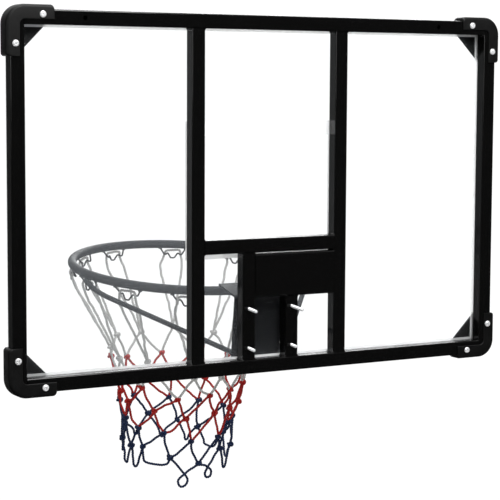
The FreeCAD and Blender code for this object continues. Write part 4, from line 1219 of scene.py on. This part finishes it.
class BACKBOARD_OT_stage(BackboardStep):
    """Set the camera, the light and the pale floor"""

    bl_idname = "backboard.stage"
    bl_label = "Camera and light"

    def execute(self, context):
        sizes = context.scene.backboard_stage
        back = Vector((math.sin(sizes.azimuth) * math.cos(sizes.elevation),
                       math.cos(sizes.azimuth) * math.cos(sizes.elevation), math.sin(sizes.elevation)))
        right = UP.cross(back).normalized()
        turn = Matrix((right, back.cross(right), back)).transposed().to_4x4()
        camera = shown("camera", bpy.data.cameras.new("camera"))
        camera.data.lens = sizes.lens
        camera.data.clip_end = 50
        camera.matrix_world = Matrix.Translation(sizes.place) @ turn @ Matrix.Rotation(sizes.roll, 4, "Z")
        context.scene.camera = camera
        context.scene.view_settings.view_transform = "Standard"
        self.floor(sizes)
        self.sky(context.scene)
        for name, spot, size, power in LAMPS:
            lamp = shown(name, bpy.data.lights.new(name, "AREA"))
            lamp.data.size = size
            lamp.data.energy = power
            lamp.location = spot
            lamp.rotation_euler = (LAMP_AIM - lamp.location).to_track_quat("-Z", "Y").to_euler()
        return {"FINISHED"}

    def floor(self, sizes):
        """Pale floor: white for the camera, dark where glossy surfaces mirror it."""
        mesh = bpy.data.meshes.new("floor")
        ways = ((-1, -1), (1, -1), (1, 1), (-1, 1))
        corners = [(x * FLOOR_HALF, y * FLOOR_HALF, sizes.floor) for x, y in ways]
        mesh.from_pydata(corners, [], [(0, 1, 2, 3)])
        floor = shown("floor", mesh)
        material, nodes, spots = new_material("floor_pale")
        tint = nodes.blend(nodes.noise(spots, 2.0), (0.8, 0.8, 0.8, 1), (0.78, 0.78, 0.78, 1))
        matt = nodes.add("ShaderNodeBsdfDiffuse", {"Color": tint})
        plain = nodes.add("ShaderNodeEmission", {"Strength": WHITE_LEVEL})
        dim = nodes.add("ShaderNodeEmission", {"Strength": FLOOR_LEVEL})
        rays = nodes.add("ShaderNodeLightPath").outputs
        under = nodes.mix(rays["Is Glossy Ray"], matt, dim)
        close_material(nodes, nodes.mix(rays["Is Camera Ray"], under, plain).outputs[0])
        mesh.materials.append(material)

    def sky(self, scene):
        """White behind the object, and a studio that is dark on the photographer's side."""
        world = bpy.data.worlds.new("studio")
        scene.world = world
        world.use_nodes = True
        nodes = Nodes(world.node_tree)
        way = nodes.add("ShaderNodeTexCoord").outputs["Generated"]
        flat = nodes.add("ShaderNodeVectorMath", {0: way, 1: (1, 1, 0)}, operation="MULTIPLY").outputs[0]
        level_way = nodes.add("ShaderNodeVectorMath", {0: flat}, operation="NORMALIZE").outputs[0]
        screen, panel = (nodes.add("ShaderNodeVectorMath", {0: level_way, 1: toward}, operation="DOT_PRODUCT")
                         for toward in (SCREEN_WAY, PANEL_WAY))
        height = nodes.add("ShaderNodeSeparateXYZ", {0: way}).outputs["Z"]
        sides = nodes.math("MAXIMUM", nodes.spread(screen.outputs["Value"], DARK_LEVEL, 1.0, 0.938, 0.955),
                           nodes.spread(panel.outputs["Value"], 0.0, PANEL_LEVEL, 0.985, 0.997))
        level = nodes.math("MAXIMUM", sides, nodes.spread(height, 0.0, CEILING_LEVEL, 0.35, 0.9))
        rays = nodes.add("ShaderNodeLightPath").outputs
        soft = nodes.add("ShaderNodeMix", {0: rays["Is Glossy Ray"], 2: SOFT_LEVEL, 3: level}).outputs[0]
        strength = nodes.add("ShaderNodeMix", {0: rays["Is Camera Ray"], 2: soft, 3: WHITE_LEVEL}).outputs[0]
        light = nodes.add("ShaderNodeBackground", {"Color": (1, 1, 1, 1), "Strength": strength})
        nodes.add("ShaderNodeOutputWorld", {"Surface": light.outputs[0]})


STEPS = (BACKBOARD_OT_frame_paint, BACKBOARD_OT_web_plate, BACKBOARD_OT_frame_welds, BACKBOARD_OT_clear_sheet,
         BACKBOARD_OT_corner_caps, BACKBOARD_OT_cap_fasteners, BACKBOARD_OT_rim_bolts, BACKBOARD_OT_rim_steel,
         BACKBOARD_OT_net_hooks, BACKBOARD_OT_net, BACKBOARD_OT_stage)


class BACKBOARD_PT_steps(bpy.types.Panel):
    """Steps that dress the backboard, and their sizes"""

    bl_idname = "BACKBOARD_PT_steps"
    bl_label = "Backboard"
    bl_space_type = "VIEW_3D"
    bl_region_type = "UI"
    bl_category = "Backboard"

    def draw(self, context):
        for step in STEPS:
            self.layout.operator(step.bl_idname)
        for name, group in SETTINGS.items():
            box = self.layout.box()
            for field in group.__annotations__:
                box.prop(getattr(context.scene, name), field)


CLASSES = (*SETTINGS.values(), *STEPS, BACKBOARD_PT_steps)


def register():
    for kind in CLASSES:
        bpy.utils.register_class(kind)
    for name, group in SETTINGS.items():
        setattr(bpy.types.Scene, name, PointerProperty(type=group))


def unregister():
    for name in SETTINGS:
        delattr(bpy.types.Scene, name)
    for kind in reversed(CLASSES):
        bpy.utils.unregister_class(kind)


def main():
    register()
    for step in STEPS:
        group, name = step.bl_idname.split(".")
        getattr(getattr(bpy.ops, group), name)()


if __name__ == "__main__":
    main()
